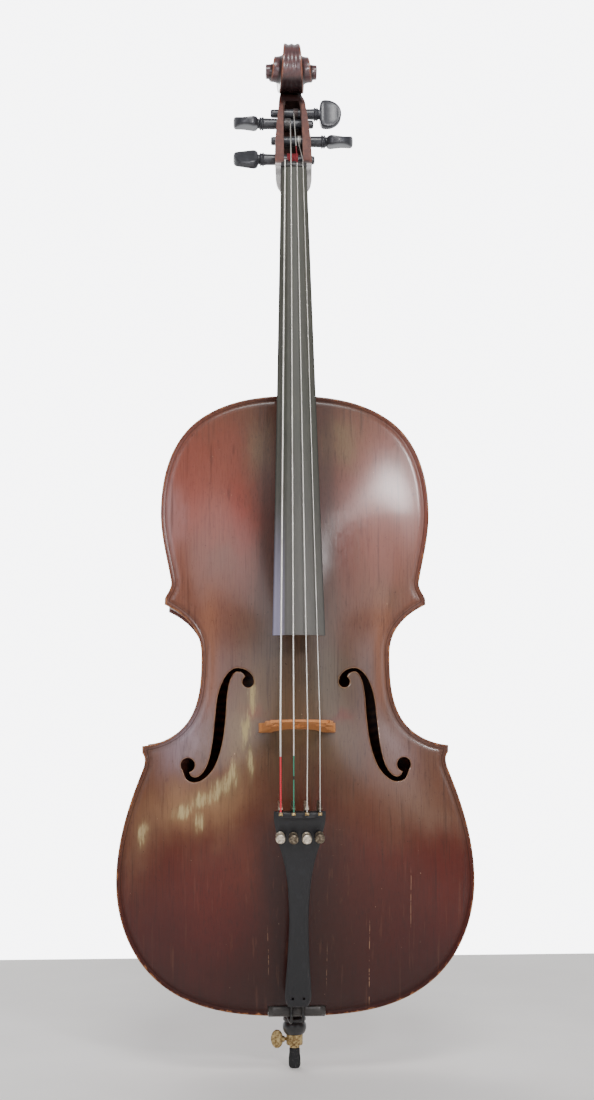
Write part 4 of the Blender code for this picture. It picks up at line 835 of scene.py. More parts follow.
def carved_plate(front, holes, notches, extra=None):
    """A carved plate from a flat triangulation that is lifted to the arching on both faces."""
    outline = whole_outline(3.0)
    height = TOP_ARCH if front < 0 else BACK_ARCH
    points = [outline] + [ring_inside(outline, d, 3.0 if d < 7 else 4.5) for d in RIM_DISTANCES[1:]]
    for loop in holes:
        centre = loop.mean(axis=0)
        clockwise = np.sum((loop[:, 0] - centre[0]) * (np.roll(loop, -1, axis=0) - loop)[:, 1]
                           - (loop[:, 1] - centre[1]) * (np.roll(loop, -1, axis=0) - loop)[:, 0]) < 0
        turned_loop = loop[::-1] if clockwise else loop
        points += [ring_inside(turned_loop, d, 1.6) for d in HOLE_DISTANCES[1:]]
    rows = np.arange(-216, 217, GRID)
    grid = np.array([(x + (GRID / 2 if k % 2 else 0), z)
                     for k, z in enumerate(np.arange(4, 756, GRID * 0.866)) for x in rows])
    grid = grid[inside(grid, outline) & (distance_to(grid, outline) > RIM_DISTANCES[-1] + 1.5)]
    for loop in holes:
        grid = grid[distance_to(grid, loop) > HOLE_DISTANCES[-1] + 1.0]
    points.append(grid)
    loops = [outline] + holes + notches + ([extra] if extra is not None else [])
    flat = list(points)
    edges = []
    start = 0
    for k, loop in enumerate(loops):
        if k:
            start = sum(len(p) for p in flat)
            flat.append(loop)
        edges += [(start + i, start + (i + 1) % len(loop)) for i in range(len(loop))]
    flat = np.vstack(flat)
    places, _, faces, *_ = delaunay_2d_cdt([Vector(p) for p in flat], edges, [], 0, 1e-4)
    places = np.array([tuple(p) for p in places])
    faces = np.array(faces)
    centres = places[faces].mean(axis=1)
    keep = inside(centres, outline)
    if extra is not None:
        keep |= inside(centres, extra)
    for loop in holes + notches:
        keep &= ~inside(centres, loop)
    faces = faces[keep]
    used = np.unique(faces)
    renamed = np.full(len(places), -1)
    renamed[used] = np.arange(len(used))
    places, faces = places[used], renamed[faces]

    edge = distance_to(places, outline)
    rim = edge
    if extra is not None:
        rim = np.minimum(np.where(inside(places, extra), 99, edge),
                         np.where(inside(places, outline), 99, distance_to(places, extra)))
        edge = np.where(inside(places, outline), edge, 20.0)
    hole = np.full(len(places), 99.0)
    for loop in holes:
        away = distance_to(places, loop)
        within = inside(places, loop) & (away > 0.02)
        hole = np.minimum(hole, np.where(within, 99.0, away))
    channel = 0.9 * np.exp(-((edge - 6.4) / 2.6) ** 2) * np.where(edge < 19.9, 1, 0)

    def rounding(distance, radius):
        """How far a rounded edge falls away near a border."""
        near = np.clip(radius - distance, 0, radius)
        return radius - np.sqrt(radius * radius - near * near)

    rise = arch(places[:, 0], places[:, 1], height)
    upper = RIB_HALF + PLATE_EDGE + rise - channel - rounding(rim, EDGE_ROUND) - rounding(hole, 0.7)
    lower = RIB_HALF + GAP / 2 + rise + rounding(rim, 1.4) + rounding(hole, 0.6)
    count = len(places)
    vertices = np.vstack([np.column_stack([places[:, 0], front * upper, places[:, 1] + BODY_Z]),
                          np.column_stack([places[:, 0], front * lower, places[:, 1] + BODY_Z])])
    sides = {}
    for a, b, c in faces:
        for u, v in ((a, b), (b, c), (c, a)):
            sides[(u, v)] = True
    walls = [(u, v, v + count, u + count) for (u, v) in sides if (v, u) not in sides]
    mesh = bpy.data.meshes.new("plate")
    skin = [*faces, *(faces[:, ::-1] + count), *walls]
    mesh.from_pydata([tuple(map(float, v)) for v in vertices], [], [tuple(map(int, f)) for f in skin])
    closed(mesh, weld=0)
    for name, values in (("edge", edge), ("hole", hole)):
        tag(mesh, name, np.concatenate([values, values + 30.0]))
    return mesh


def rectangle(x0, x1, z0, z1):
    """A closed rectangle of (x, z) points."""
    return np.array([(x0, z0), (x1, z0), (x1, z1), (x0, z1)], float)


def build_plates():
    """The belly with its f-holes and notches, and the back with its button."""
    holes = f_hole_loops(-1) + f_hole_loops(1)
    neck_notch = rectangle(-22.1, 22.1, 740.5, 762.0)
    saddle_notch = rectangle(-34.3, 34.3, -6.0, 12.3)
    put(carved_plate(-1, holes, [neck_notch, saddle_notch]), "belly", BELLY, "root", ("top_plate",),
        50)
    angles = np.linspace(0, math.pi, 25)
    arc = np.column_stack([-15.0 * np.cos(angles), 752 + 21 * np.sin(angles)])
    button = np.vstack([[(-15.0, 747.0)], arc, [(15.0, 747.0)]])
    put(carved_plate(1, [], [], button), "back", BACK, "root", ("back_plate",), 50)


# ---- ribs ----------------------------------------------------------------------------------------
MITRES = {"upper": ((161.2, 495.5), (-0.94, 0.34)), "lower": ((187.0, 315.2), (-0.93, -0.36))}
BOUTS = {"upper": UPPER_BOUT, "waist": WAIST, "lower": LOWER_BOUT}


def shifted(point, direction, amount):
    """A point moved to the left of a direction."""
    normal = np.array([-direction[1], direction[0]])
    return tuple(np.array(point) + amount * normal / np.linalg.norm(normal))


def cuts_for(bout):
    """Where a bout's ribs end: at the mitres and on the centre line or at the neck."""
    up, up_way = MITRES["upper"]
    low, low_way = MITRES["lower"]
    half = GAP / 2
    if bout == "upper":
        return [(shifted(up, up_way, -half), up_way, False), ((22.4, 0), (0, -1), True)]
    if bout == "waist":
        return [(shifted(up, up_way, half), up_way, True), (shifted(low, low_way, -half), low_way, False)]
    return [(shifted(low, low_way, half), low_way, True), ((half, 0), (0, -1), True)]


def build_ribs():
    """Six bent ribs, each with its length stored for the flame of the wood."""
    depths = (-RIB_HALF, -RIB_HALF + 0.3, 0, RIB_HALF - 0.3, RIB_HALF)
    for side_name, side in SIDES.items():
        for bout, nodes in BOUTS.items():
            lines = []
            for distance in (OVERHANG, OVERHANG + RIB_THICKNESS):
                line = offset(run_of(nodes, 40), -distance)
                for cut in cuts_for(bout):
                    line = trim(line, *cut)
                lines.append(line)
            count = int(np.linalg.norm(np.diff(lines[0], axis=0), axis=1).sum() / RIB_STEP)
            shares = np.linspace(0, 1, count)
            outer, inner = [np.array([np.interp(shares, np.linspace(0, 1, len(line)), line[:, k])
                                      for k in (0, 1)]).T
                            for line in [spaced(line, 0.5) for line in lines]]
            rings = []
            for (x0, z0), (x1, z1) in zip(outer, inner):
                ring = [(x0 * side, y, z0 + BODY_Z) for y in depths]
                ring += [(x1 * side, y, z1 + BODY_Z) for y in reversed(depths)]
                rings.append(ring)
            mesh = loft(rings)
            tag(mesh, "along", np.repeat(np.arange(count) * RIB_STEP, 2 * len(depths)))
            if bout == "lower":
                plug_hole = turned([(PLUG_HOLE, BODY_Z - 20), (PLUG_HOLE, BODY_Z + 30)],
                                   (0, 0, 0), (0, 0, 1))
                mesh = combine(mesh, [plug_hole], "DIFFERENCE")
            piece = f"rib_{bout}_{side_name}"
            put(mesh, "bent_" + piece, RIBS, "root", (piece,), 40)


def build_inner_wood():
    """Wood finish on the CAD pieces that the body hides."""
    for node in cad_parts:
        if node.startswith(("lining", "corner_block")) or node in ("neck_block", "end_block", "bass_bar",
                                                                   "sound_post"):
            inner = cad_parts[node]
            inner.data.materials.clear()
            inner.data.materials.append(INNER)


# ---- neck, pegbox and scroll ---------------------------------------------------------------------
BRIDGE_Z = BODY_Z + 341.0
BRIDGE_HEIGHT = 90.0
BRIDGE_LEAN = math.radians(5.5)
NUT_Z = BODY_Z + 1060.0
NUT_Y = -52.0
BOARD_END_Z = BODY_Z + 449.0
BOARD_END_Y = -152.5
BOARD_HALF_WIDTHS = (16.5, 31.0)
BOARD_THICKNESS = (9.0, 13.5)
SCROLL_CENTRE = (25.0, BODY_Z + 1225.0)
SCROLL_RADII = (43.0, 9.5)
SCROLL_TURNS = 2.25
SCROLL_HALF_WIDTHS = (13.0, 9.4, 34.0)
SCROLL_STEPS = 72        # facets of one turn

PEG_X_SHARE = 0.62       # a string's x at its peg, as a share of its x at the nut
# name: side of the head, z, y, leaf angle, how far the head sits out, stretch of the leaf
PEGS = {
    "C": (-1, BODY_Z + 1082.0, -19.0, 45.0, 11.0, 1.0),
    "A": (1, BODY_Z + 1112.5, -7.5, 78.0, 11.0, 1.06),
    "G": (-1, BODY_Z + 1141.0, 3.0, 80.0, 11.0, 1.0),
    "D": (1, BODY_Z + 1158.0, 9.0, 4.0, 2.5, 0.9),
}
# name: x at the bridge, x at the nut, diameter, drop of the bridge's edge there
STRINGS = {
    "C": (-23.0, -11.6, 2.0, 5.0),
    "G": (-8.0, -3.9, 1.5, 0.4),
    "D": (8.0, 3.9, 1.2, 1.4),
    "A": (22.5, 11.6, 0.9, 8.5),
}


def board_y(z):
    """Surface of the fingerboard on the centre line."""
    return NUT_Y + (BOARD_END_Y - NUT_Y) * (NUT_Z - z) / (NUT_Z - BOARD_END_Z)


def nut_crown(x):
    """Top of the nut between its grooves at x."""
    half = BOARD_HALF_WIDTHS[0]
    return NUT_Y - 1.6 + 0.17 * half * (x / half) ** 2


def board_glue_y(z):
    """Underside of the fingerboard, where it is glued to the neck."""
    share = (NUT_Z - z) / (NUT_Z - BOARD_END_Z)
    return board_y(z) + BOARD_THICKNESS[0] + (BOARD_THICKNESS[1] - BOARD_THICKNESS[0]) * share


def neck_stations():
    """Front (y, z), back (y, z), half width, squareness and fluting of the neck's sections."""
    def glue(z):
        """Where the neck's front meets the fingerboard, with the gap between them."""
        return board_glue_y(z + BODY_Z) + GAP

    return [
        (58.7, 752, 58.7, 772, 14.6, 0.75, 0), (35, 752, 35, 775, 15.6, 0.8, 0),
        (5, 752, 5, 778, 17.3, 0.85, 0), (-25, 752, -24, 784, 19, 0.9, 0),
        (-50, 752, -42, 796, 20.5, 0.95, 0), (-72, 752, -54, 815, 21.6, 1, 0),
        (glue(756), 756, -59, 838, 22.3, 1, 0), (glue(800), 800, -58.5, 862, 21.9, 1, 0),
        (glue(850), 850, -53.5, 890, 21, 1, 0), (glue(910), 910, -45, 925, 19.8, 1, 0),
        (glue(970), 970, -36, 975, 18.6, 1, 0), (glue(1021), 1021, -28, 1023, 17.4, 1, 0),
        (glue(1028), 1028, -27, 1030, 18, 0.9, 0), (glue(1034), 1034, -24, 1036, 21.2, 0.7, 0),
        (glue(1043), 1043, -19, 1043.5, 23, 0.6, 0), (glue(1051), 1051, -14.5, 1050, 23.3, 0.6, 0.1),
        (-42, 1062, -8, 1058, 23.6, 0.52, 0.4), (-41, 1070, 4, 1068, 23.9, 0.45, 0.8),
        (-36.5, 1082, 9.5, 1084, 24, 0.42, 1.3), (-27, 1108, 15, 1112, 23.2, 0.42, 1.8),
        (-17, 1134, 22, 1138, 21.2, 0.42, 1.9), (-8, 1158, 31, 1160, 18.6, 0.42, 1.9),
        (0, 1171, 40, 1175, 17.6, 0.42, 1.8), (14, 1182, 49.5, 1189, 16.7, 0.42, 1.7),
        (30, 1193, 58.5, 1203, 15.4, 0.42, 1.6), (44, 1205, 65, 1215, 14.1, 0.42, 1.5),
        (52, 1217, 67.5, 1225, 13, 0.42, 1.5), (56, 1227, 65, 1232, 10.8, 0.42, 0),
    ]


def fluted(x, half, depth):
    """How far a twin-fluted back lies below its ridges at x."""
    share = abs(x) / (0.86 * half)
    return depth * math.sin(math.pi * share) ** 2 if share < 1 else 0.0


def d_section(front_y, front_z, back_y, back_z, half, square, flute, count=49):
    """A flat-fronted section: straight across the front, rounded or fluted across the back."""
    depth = math.hypot(back_y - front_y, back_z - front_z)
    angles = np.linspace(0, math.pi, 600)
    dense = np.column_stack([half * np.sign(np.cos(angles)) * np.abs(np.cos(angles)) ** square,
                             depth * np.abs(np.sin(angles)) ** square])
    length = np.linalg.norm(np.diff(dense, axis=0), axis=1).sum()
    line = spaced(dense, length / (count - 1))[:count]
    ring = []
    for x, away in line:
        share = (away - (fluted(x, half, flute) if away > 0.6 * depth else 0.0)) / depth
        ring.append((x, front_y + (back_y - front_y) * share, BODY_Z + front_z + (back_z - front_z) * share))
    return ring


def scroll_radius(t):
    """Radius of the volute at an angle t along it."""
    share = min(1.0, t / (SCROLL_TURNS * math.tau))
    return SCROLL_RADII[1] + (SCROLL_RADII[0] - SCROLL_RADII[1]) * (1 - share) ** 1.35


def scroll_half(t):
    """Half width of the volute at an angle t along it, narrowest at its crown."""
    start, crown, eye = SCROLL_HALF_WIDTHS
    top = math.pi / 2
    if t < top:
        return crown + (start - crown) * (1 - t / top) ** 1.5
    share = min(1.0, (t - top) / (SCROLL_TURNS * math.tau - top))
    return crown + (eye - crown) * share ** 0.9


def scroll_point(t, radius, x):
    """A point on the volute: t runs from the back over the crown to the front."""
    y, z = SCROLL_CENTRE
    return (x, y + radius * math.cos(t), z + radius * math.sin(t))


def cove(near, far, share):
    """A point on the hollow between one turn's edge and the next, as (radius, x)."""
    handles = [near, (near[0] + 0.72 * (far[0] - near[0]), near[1] - 3.4),
               (far[0] + 0.02 * (near[0] - far[0]), near[1] + 0.12 * (far[1] - near[1]) - 1.0), far]
    weights = [(1 - share) ** 3, 3 * share * (1 - share) ** 2, 3 * share * share * (1 - share), share ** 3]
    return tuple(sum(w * h[k] for w, h in zip(weights, handles)) for k in (0, 1))


def volute():
    """The scroll: fluted rim of the first turn, bevelled edges, hollow turns and two eyes."""
    steps, total, cove_rows, rim_columns = SCROLL_STEPS, int(SCROLL_STEPS * SCROLL_TURNS), 9, 13
    last = total - steps
    points, ridges, hollows = [], [], []

    def add(t, radius, x):
        """Store a point of the volute and return its number."""
        points.append(scroll_point(t, radius, x))
        return len(points) - 1

    def bevel(t):
        """Width of the edge's bevel, which fades out at the eye."""
        return min(1.0, max(0.0, (scroll_radius(t) - SCROLL_RADII[1]) / 2.5))

    faces, outer, inner, starts = [], {}, {}, {}
    for side in (-1, 1):
        for i in range(total + 1):
            t = i * math.tau / steps
            outer[side, i] = add(t, scroll_radius(t), side * (scroll_half(t) - bevel(t)))
            inner[side, i] = add(t, scroll_radius(t) - bevel(t), side * scroll_half(t))
            ridges += [points[outer[side, i]], points[inner[side, i]]]
        eye = [add(t, SCROLL_RADII[1], side * SCROLL_HALF_WIDTHS[2])
               for t in (math.tau * (total + k) / steps for k in range(steps))]
        columns = {}
        for i in range(total + 1):
            t = i * math.tau / steps
            near = (scroll_radius(t) - bevel(t), scroll_half(t))
            ahead = t + math.tau
            far = ((scroll_radius(ahead), scroll_half(ahead) - bevel(ahead)) if i <= last
                   else (SCROLL_RADII[1], SCROLL_HALF_WIDTHS[2]))
            between = []
            for row in range(1, cove_rows):
                radius, x = cove(near, far, row / cove_rows)
                between.append(add(t, radius, side * x))
                if row == 5:
                    hollows.append(points[-1])
            end = outer[side, i + steps] if i <= last else eye[(i - last) % steps]
            columns[i] = [inner[side, i], *between, end]
        for i in range(total):
            faces.append((outer[side, i], outer[side, i + 1], inner[side, i + 1], inner[side, i]))
            here, there = columns[i], columns[i + 1]
            for row in range(cove_rows):
                faces.append((here[row], there[row], there[row + 1], here[row + 1]))
        middle = add(0, 0, side * (SCROLL_HALF_WIDTHS[2] + 0.9))
        dome = [add(math.tau * (total + k) / steps, SCROLL_RADII[1] - 1.2,
                    side * (SCROLL_HALF_WIDTHS[2] + 0.7))
                for k in range(steps)]
        for k in range(steps):
            after = (k + 1) % steps
            faces.append((eye[k], eye[after], dome[after], dome[k]))
            faces.append((dome[k], dome[after], middle))
        starts[side] = columns[0]
    rows = []
    for i in range(steps + 1):
        t = i * math.tau / steps
        half = scroll_half(t) - bevel(t)
        row = [outer[-1, i]]
        for k in range(1, rim_columns):
            x = -half + 2 * half * k / rim_columns
            row.append(add(t, scroll_radius(t) - fluted(x, half, 1.5), x))
        rows.append(row + [outer[1, i]])
    for low, high in zip(rows, rows[1:]):
        for k in range(rim_columns):
            faces.append((low[k], low[k + 1], high[k + 1], high[k]))
    faces.append(tuple(starts[-1] + rows[steps][1:-1] + starts[1][::-1] + rows[0][::-1]))
    return mesh_from(points, faces), ridges, hollows


def peg_radius(along):
    """A peg's shaft radius at a distance towards its head from the pegbox's middle."""
    return 7.0 - 1.4 * (24 - along) / 48


def near_lines(mesh, points, reach):
    """For each vertex, 1 on the given points fading to 0 at a reach."""
    tree = KDTree(len(points))
    for k, point in enumerate(points):
        tree.insert(point, k)
    tree.balance()
    return np.array([max(0.0, 1 - tree.find(v.co)[2] / reach) for v in mesh.vertices])


def build_neck():
    """Neck, pegbox and scroll, with the cavity and the peg holes cut out."""
    rings = [d_section(*station) for station in smooth(neck_stations(), 7)]
    scroll, ridges, hollows = volute()
    tenon = loft([[(-half, y, BODY_Z + 741), (half, y, BODY_Z + 741), (half, y, BODY_Z + 754),
                   (-half, y, BODY_Z + 754)]
                  for y, half in ((-90, 22), (-63, 21.2), (0, 17.2), (58.7, 14.2))])
    whole = combine(loft(rings), [tenon, scroll], "UNION")
    cavity = []
    for z, front, back, half in smooth(((1067.5, -60, -24, 11.6), (1071, -60, -14, 12.3),
                                        (1080, -60, -8, 12.4), (1110, -60, 5, 12), (1140, -60, 14, 11.3),
                                        (1163, -60, 22, 10.2), (1171, -60, 18, 9.2),
                                        (1174, -60, 8, 8.2)), 4):
        cavity.append([(x, y, z + BODY_Z) for x, y in (
            (-half, front), (half, front), (half, back - 2), (half - 2, back), (2 - half, back),
            (-half, back - 2))])
    cuts = [loft(cavity)]
    for side, z, y, *_ in PEGS.values():
        cuts.append(turned([(peg_radius(d) + 0.25, d) for d in (-32, 32)], (0, y, z), (side, 0, 0), 40))
    whole = combine(whole, cuts, "DIFFERENCE")
    closed(whole, 1e-3)
    cheeks = [ring[k] for ring in rings for k in (0, -1) if ring[k][2] > BODY_Z + 1060]
    ridge = near_lines(whole, ridges + cheeks, 3.2) - 1.2 * near_lines(whole, hollows, 6.0)
    tag(whole, "ridge", ridge)
    put(whole, "carved_neck", NECK, "root", ("neck",), 38)


def build_board():
    """Fingerboard with a flat under the C string and a hollowed underside, and the grooved nut."""
    count, rows = 40, 60
    rings, across, under = [], [], []
    for row in range(rows + 1):
        share = row / rows
        z = NUT_Z - GAP - share * (NUT_Z - GAP - BOARD_END_Z)
        half = BOARD_HALF_WIDTHS[0] + (BOARD_HALF_WIDTHS[1] - BOARD_HALF_WIDTHS[0]) * share
        sag = (0.17 + 0.12 * share) * half
        glue = board_glue_y(z)
        hollow = 6.5 * min(1.0, max(0.0, (BODY_Z + 735 - z) / 60))
        ring = []
        for k in range(count + 1):
            x = half * (1 - 2 * k / count)
            drop = sag * (x / half) ** 2
            if x < -0.5 * half:
                drop = sag * (0.25 + (-x / half - 0.5) * 2)
            round_off = 0.7 * max(0.0, abs(x) / half - 0.96) / 0.04
            ring.append((x, board_y(z) + drop + round_off, z))
            across.append(x / half)
            under.append(0.0)
        for k in range(count + 1):
            x = half * (2 * k / count - 1)
            arched = max(0.0, 1 - (x / (0.84 * half)) ** 2)
            ring.append((x, glue - hollow * arched, z))
            across.append(x / half)
            under.append(1.0)
        rings.append(ring)
    mesh = loft(rings)
    tag(mesh, "across", across)
    tag(mesh, "under", under)
    put(mesh, "shaped_fingerboard", BOARD, "root", ("fingerboard",), 30)

    half = BOARD_HALF_WIDTHS[0]
    z = NUT_Z + GAP / 2
    back = board_glue_y(NUT_Z) + GAP
    rings = []
    for x in np.linspace(-half, half, 67):
        groove = max(max(0.0, 1 - ((x - xn) / (d * 0.9)) ** 2) * d * 0.55
                     for _, xn, d, _ in STRINGS.values())
        crown = nut_crown(x) + groove
        end = 1.2 * max(0.0, abs(x) / half - 0.93) / 0.07
        profile = [(crown + 0.7 + end, z), (crown + 0.1 + end, z + 0.8), (crown + end, z + 2.2),
                   (crown + 0.5 + end, z + 4.5), (crown + 2.0 + end, z + 6.4), (crown + 4 + end, z + 7.5),
                   (-43.5, z + 7.5), (-43.5, z)]
        rings.append([(x, min(y, back), up) for y, up in profile])
    put(loft(rings), "grooved_nut", NUT_BLACK, "root", ("nut",), 40)


# ---- bridge --------------------------------------------------------------------------------------
BRIDGE_SIDE = [(34.3, 82.5), (33.6, 79), (30.8, 74.5), (30.2, 70), (32, 66), (36.2, 61), (39.2, 57),
               (39.6, 53.5), (37.6, 50), (33.6, 47.6), (31.6, 44.6), (31.6, 40), (33.5, 33), (37, 24),
               (40.4, 14), (43, 8), (46, 5), (46, 0), (31, 0), (30, 3), (28.4, 7), (25.2, 12.6),
               (21, 18.6), (15.5, 24), (8.5, 27.6)]


def string_height(x):
    """Height of the bridge's top edge at x."""
    names = ["C", "G", "D", "A"]
    xs = [-34.0] + [STRINGS[n][0] for n in names] + [34.0]
    drops = [9.5] + [STRINGS[n][3] for n in names] + [15.5]
    curve = np.polyfit(xs, drops, 4)
    return BRIDGE_HEIGHT - float(np.polyval(curve, x))


def bridge_point(x, up, depth):
    """A point of the leaning bridge: depth is towards the fingerboard."""
    base = -(RIB_HALF + PLATE_EDGE + TOP_ARCH)
    return (x, base - up * math.cos(BRIDGE_LEAN) + depth * math.sin(BRIDGE_LEAN),
            BRIDGE_Z + up * math.sin(BRIDGE_LEAN) + depth * math.cos(BRIDGE_LEAN))


def heart():
    """The heart-shaped opening in the middle of the bridge, points to the left first."""
    right = smooth([(0, 71), (1.6, 65.5), (2.4, 61), (5.5, 62.3), (8.6, 60.5), (9.6, 56.5), (8, 52),
                    (4.5, 48.6), (2.2, 46), (1.4, 43), (0, 42)], 5)
    return np.vstack([right, (right * (-1, 1))[::-1][1:-1]])


def kidney(side):
    """One side opening of the bridge, a curled slot that leaves a small tongue."""
    loop = smooth([(21, 71), (26.5, 70.5), (28.6, 66.5), (29.5, 60.5), (32.4, 57.4), (33.6, 54.4),
                   (30.6, 52.4), (26, 53.2), (21.6, 56.2), (19, 61), (18.6, 66.5), (21, 71)], 5)[:-1]
    return loop * (side, 1)


def build_bridge():
    """Bridge: a tapered plate on two fitted feet, pierced by a heart and two side openings."""
    top = [(float(x), string_height(x)) for x in np.linspace(-33.5, 33.5, 61)]
    right = spaced(smooth(BRIDGE_SIDE[:17], 4), 1.3)
    foot = spaced(np.array(BRIDGE_SIDE[16:19], float), 1.3)[1:]
    under = spaced(smooth([*BRIDGE_SIDE[18:], (0, 28.6)], 4), 1.3)[1:]
    side = np.vstack([right, foot, under])
    notched = []
    for x, up in top:
        cut = max(max(0.0, 1 - ((x - xb) / (d * 0.8)) ** 2) * d * 0.4 for xb, _, d, _ in STRINGS.values())
        notched.append((x, up - cut))
    outline = notched + [tuple(p) for p in side[1:]] + [(-x, up) for x, up in side[::-1][1:-1]]
    mesh = prism(outline, -1, 1, (heart(), kidney(1), kidney(-1)))
    shape = bmesh.new()
    shape.from_mesh(mesh)
    bmesh.ops.triangulate(shape, faces=shape.faces)
    shape.to_mesh(mesh)
    shape.free()
    for vertex in mesh.vertices:
        x, depth, up = vertex.co
        thickness = 11 - 8.4 * max(up, 0) / BRIDGE_HEIGHT
        foot_drop = float(arch(x, BRIDGE_Z - BODY_Z, TOP_ARCH)) - TOP_ARCH
        lowered = up if up > 6 else up + (foot_drop + GAP + 0.35) * (1 - up / 6)
        vertex.co = bridge_point(x, lowered, depth * -thickness / 2)
    piece = put(mesh, "cut_bridge", BRIDGE_WOOD, "root", ("bridge",), 30)
    softened = piece.modifiers.new("softened", "BEVEL")
    softened.width = 0.45 * MM
    softened.segments = 2
    softened.limit_method = "ANGLE"
    softened.angle_limit = math.radians(50)
    softened.harden_normals = False


# ---- tailpiece and fine tuners -------------------------------------------------------------------
TAIL_TOP = (-150.0, BODY_Z + 246.0)
TAIL_BOTTOM = (-94.0, BODY_Z + 18.0)
TAIL_WIDTHS = [(0, 30), (0.045, 29.7), (0.1, 27.3), (0.165, 23.8), (0.25, 18.2), (0.36, 13.8), (0.5, 11.7),
               (0.6, 11.5), (0.75, 12.8), (0.9, 15), (0.965, 15.2), (1, 12)]
TAIL_HOLES = (-22.5, -7.6, 7.6, 22.5)
STEM_SHARE = 0.115       # where the tuner holes lie along the tailpiece
HOOK_REACH, HOOK_RISE = 33.5, 13.4       # a lever's hook, from its tuner's stem
LOOP_HOLE_X, LOOP_HOLE_SHARE = 6.5, 0.955
TAIL_DOWN = np.array([0.0, TAIL_BOTTOM[0] - TAIL_TOP[0], TAIL_BOTTOM[1] - TAIL_TOP[1]])
TAIL_LENGTH = float(np.linalg.norm(TAIL_DOWN))
TAIL_DOWN /= TAIL_LENGTH
TAIL_OUT = np.array([0.0, TAIL_DOWN[2], -TAIL_DOWN[1]])


def tail_point(x, share, rise):
    """A point of the tailpiece: rise is out from its mid surface."""
    start = np.array([0.0, *TAIL_TOP])
    return np.array([x, 0, 0]) + start + TAIL_DOWN * TAIL_LENGTH * share + TAIL_OUT * rise


def build_tailpiece():
    """Tailpiece: arched blade with a raised fret under the strings, four tuner holes, two loop holes."""
    widths = smooth(TAIL_WIDTHS, 8)
    shares = np.concatenate([[0, 0.002, 0.006], np.linspace(0.012, 0.988, 90), [0.994, 0.998, 1.0]])
    rings = []
    for share in shares:
        half = float(np.interp(share, widths[:, 0], widths[:, 1]))
        ends = min(1.0, (min(share, 1 - share) + 0.0006) / 0.006)
        crown = (3.5 + 3.0 * (half / 30) ** 2)
        fret = 1.3 * math.exp(-((share - 0.022) / 0.008) ** 2)
        ring = []
        for k in range(33):
            x = 1 - 2 * k / 32
            surface = 1.0 + (crown - 1.0) * (1 - abs(x) ** 2.3)
            edge = 1.3 * max(0.0, abs(x) - 0.9) / 0.1
            rise = surface - edge + fret * (1 - abs(x) ** 6)
            ring.append(tail_point(half * x, share, rise * (0.72 + 0.28 * ends)))
        for k in range(17):
            x = 2 * k / 16 - 1
            ring.append(tail_point(half * x * 0.97, share, -1.5 - 2.5 * (1 - abs(x) ** 2.5) * ends))
        rings.append(ring)
    body = loft(rings)
    cuts = [turned([(3.5, -12), (3.5, 14)], tail_point(x, STEM_SHARE, 0), TAIL_OUT, 28) for x in TAIL_HOLES]
    cuts += [turned([(1.8, -14), (1.8, 14)], tail_point(x, LOOP_HOLE_SHARE, 0), TAIL_OUT, 20)
             for x in (-LOOP_HOLE_X, LOOP_HOLE_X)]
    shaped = closed(combine(body, cuts, "DIFFERENCE"), 1e-3)
    put(shaped, "shaped_tailpiece", TAIL_BLACK, "root", ("tailpiece",), 32)


def box_along(centre, halves):
    """A box with its sides along X, the tailpiece's outward way and its length."""
    rings = []
    for s in (-1, 1):
        base = np.array(centre) + TAIL_DOWN * halves[2] * s
        rings.append([base + np.array([halves[0] * a, 0, 0]) + TAIL_OUT * halves[1] * b
                      for a, b in ((-1, -1), (1, -1), (1, 1), (-1, 1))])
    return loft(rings)


def build_tuners():
    """Four fine tuners: threaded body, rocking lever with its string hook, and knurled screw."""
    for x, name in zip(TAIL_HOLES, STRINGS):
        stem = tail_point(x, STEM_SHARE, 0)
        crown = 6.5 if abs(x) < 10 else 4.6
        metal = NICKEL if name in "CD" else NICKEL_DULL
        profile = [(2.9, -8.5), (2.9, crown + GAP), (4.9, crown + GAP), (5.3, crown + 0.7),
                   (5.3, crown + 2.6), (4.8, crown + 3.0), (3.2, crown + 3.0), (3.2, crown + 5.8),
                   (3.0, crown + 6.0)]
        body = turned(profile, stem, TAIL_OUT, 48, 0.25, (3, 4), 16)
        framed = combine(body, [box_along(stem + TAIL_OUT * -10.2, (4.2, 2.2, 3.6))], "UNION")
        bore = turned([(1.9, -14), (1.9, crown + 10)], stem, TAIL_OUT, 24)
        drilled = combine(framed, [bore], "DIFFERENCE")
        put(drilled, f"tuner_base_{name}", metal, "root", (f"fine_tuner_body_{name}",), 32)
        low, high = crown + 8.2, crown + 14.0
        profile = [(1.5, -13.0), (1.5, crown + 6.6), (2.4, crown + 6.6), (2.4, crown + 8.0),
                   (5.0, low - 0.1), (5.6, low + 0.35), (5.7, low + 0.5), (5.7, high - 0.8),
                   (5.6, high - 0.6), (5.1, high + 0.1), (4.6, high + 0.5), (3.4, high + 0.6),
                   (3.1, high + 0.25), (0.4, high + 0.2)]
        screw = turned(profile, stem, TAIL_OUT, 120, 0.34, (6, 7), 30)
        put(screw, f"tuner_knob_{name}", metal, f"tuner_screw_body_{name}", (f"fine_tuner_screw_{name}",),
            32)
        put(tuner_lever(stem), f"tuner_hook_{name}", metal, f"tuner_lever_body_{name}",
            (f"fine_tuner_lever_{name}",), 32)


def tuner_lever(stem):
    """An L-shaped lever: its long arm lies under the screw, its short arm holds the string."""
    arm = [(8.0, -14.5), (7.4, -16.2), (4, -16.6), (-30, -16.6), (-34.0, -16.2), (-35.5, -14.2),
           (-35.5, 9.8), (-35.0, 11.2), (-33.5, 13.0), (-32.2, 11.6), (-31.5, 10.2), (-31.5, -12.9),
           (-31.9, -14.2), (-28, -14.4)]
    return loft([[stem + TAIL_DOWN * a + TAIL_OUT * b + np.array([x, 0, 0]) for a, b in arm]
                 for x in (-2.2, -1.85, 1.85, 2.2)])


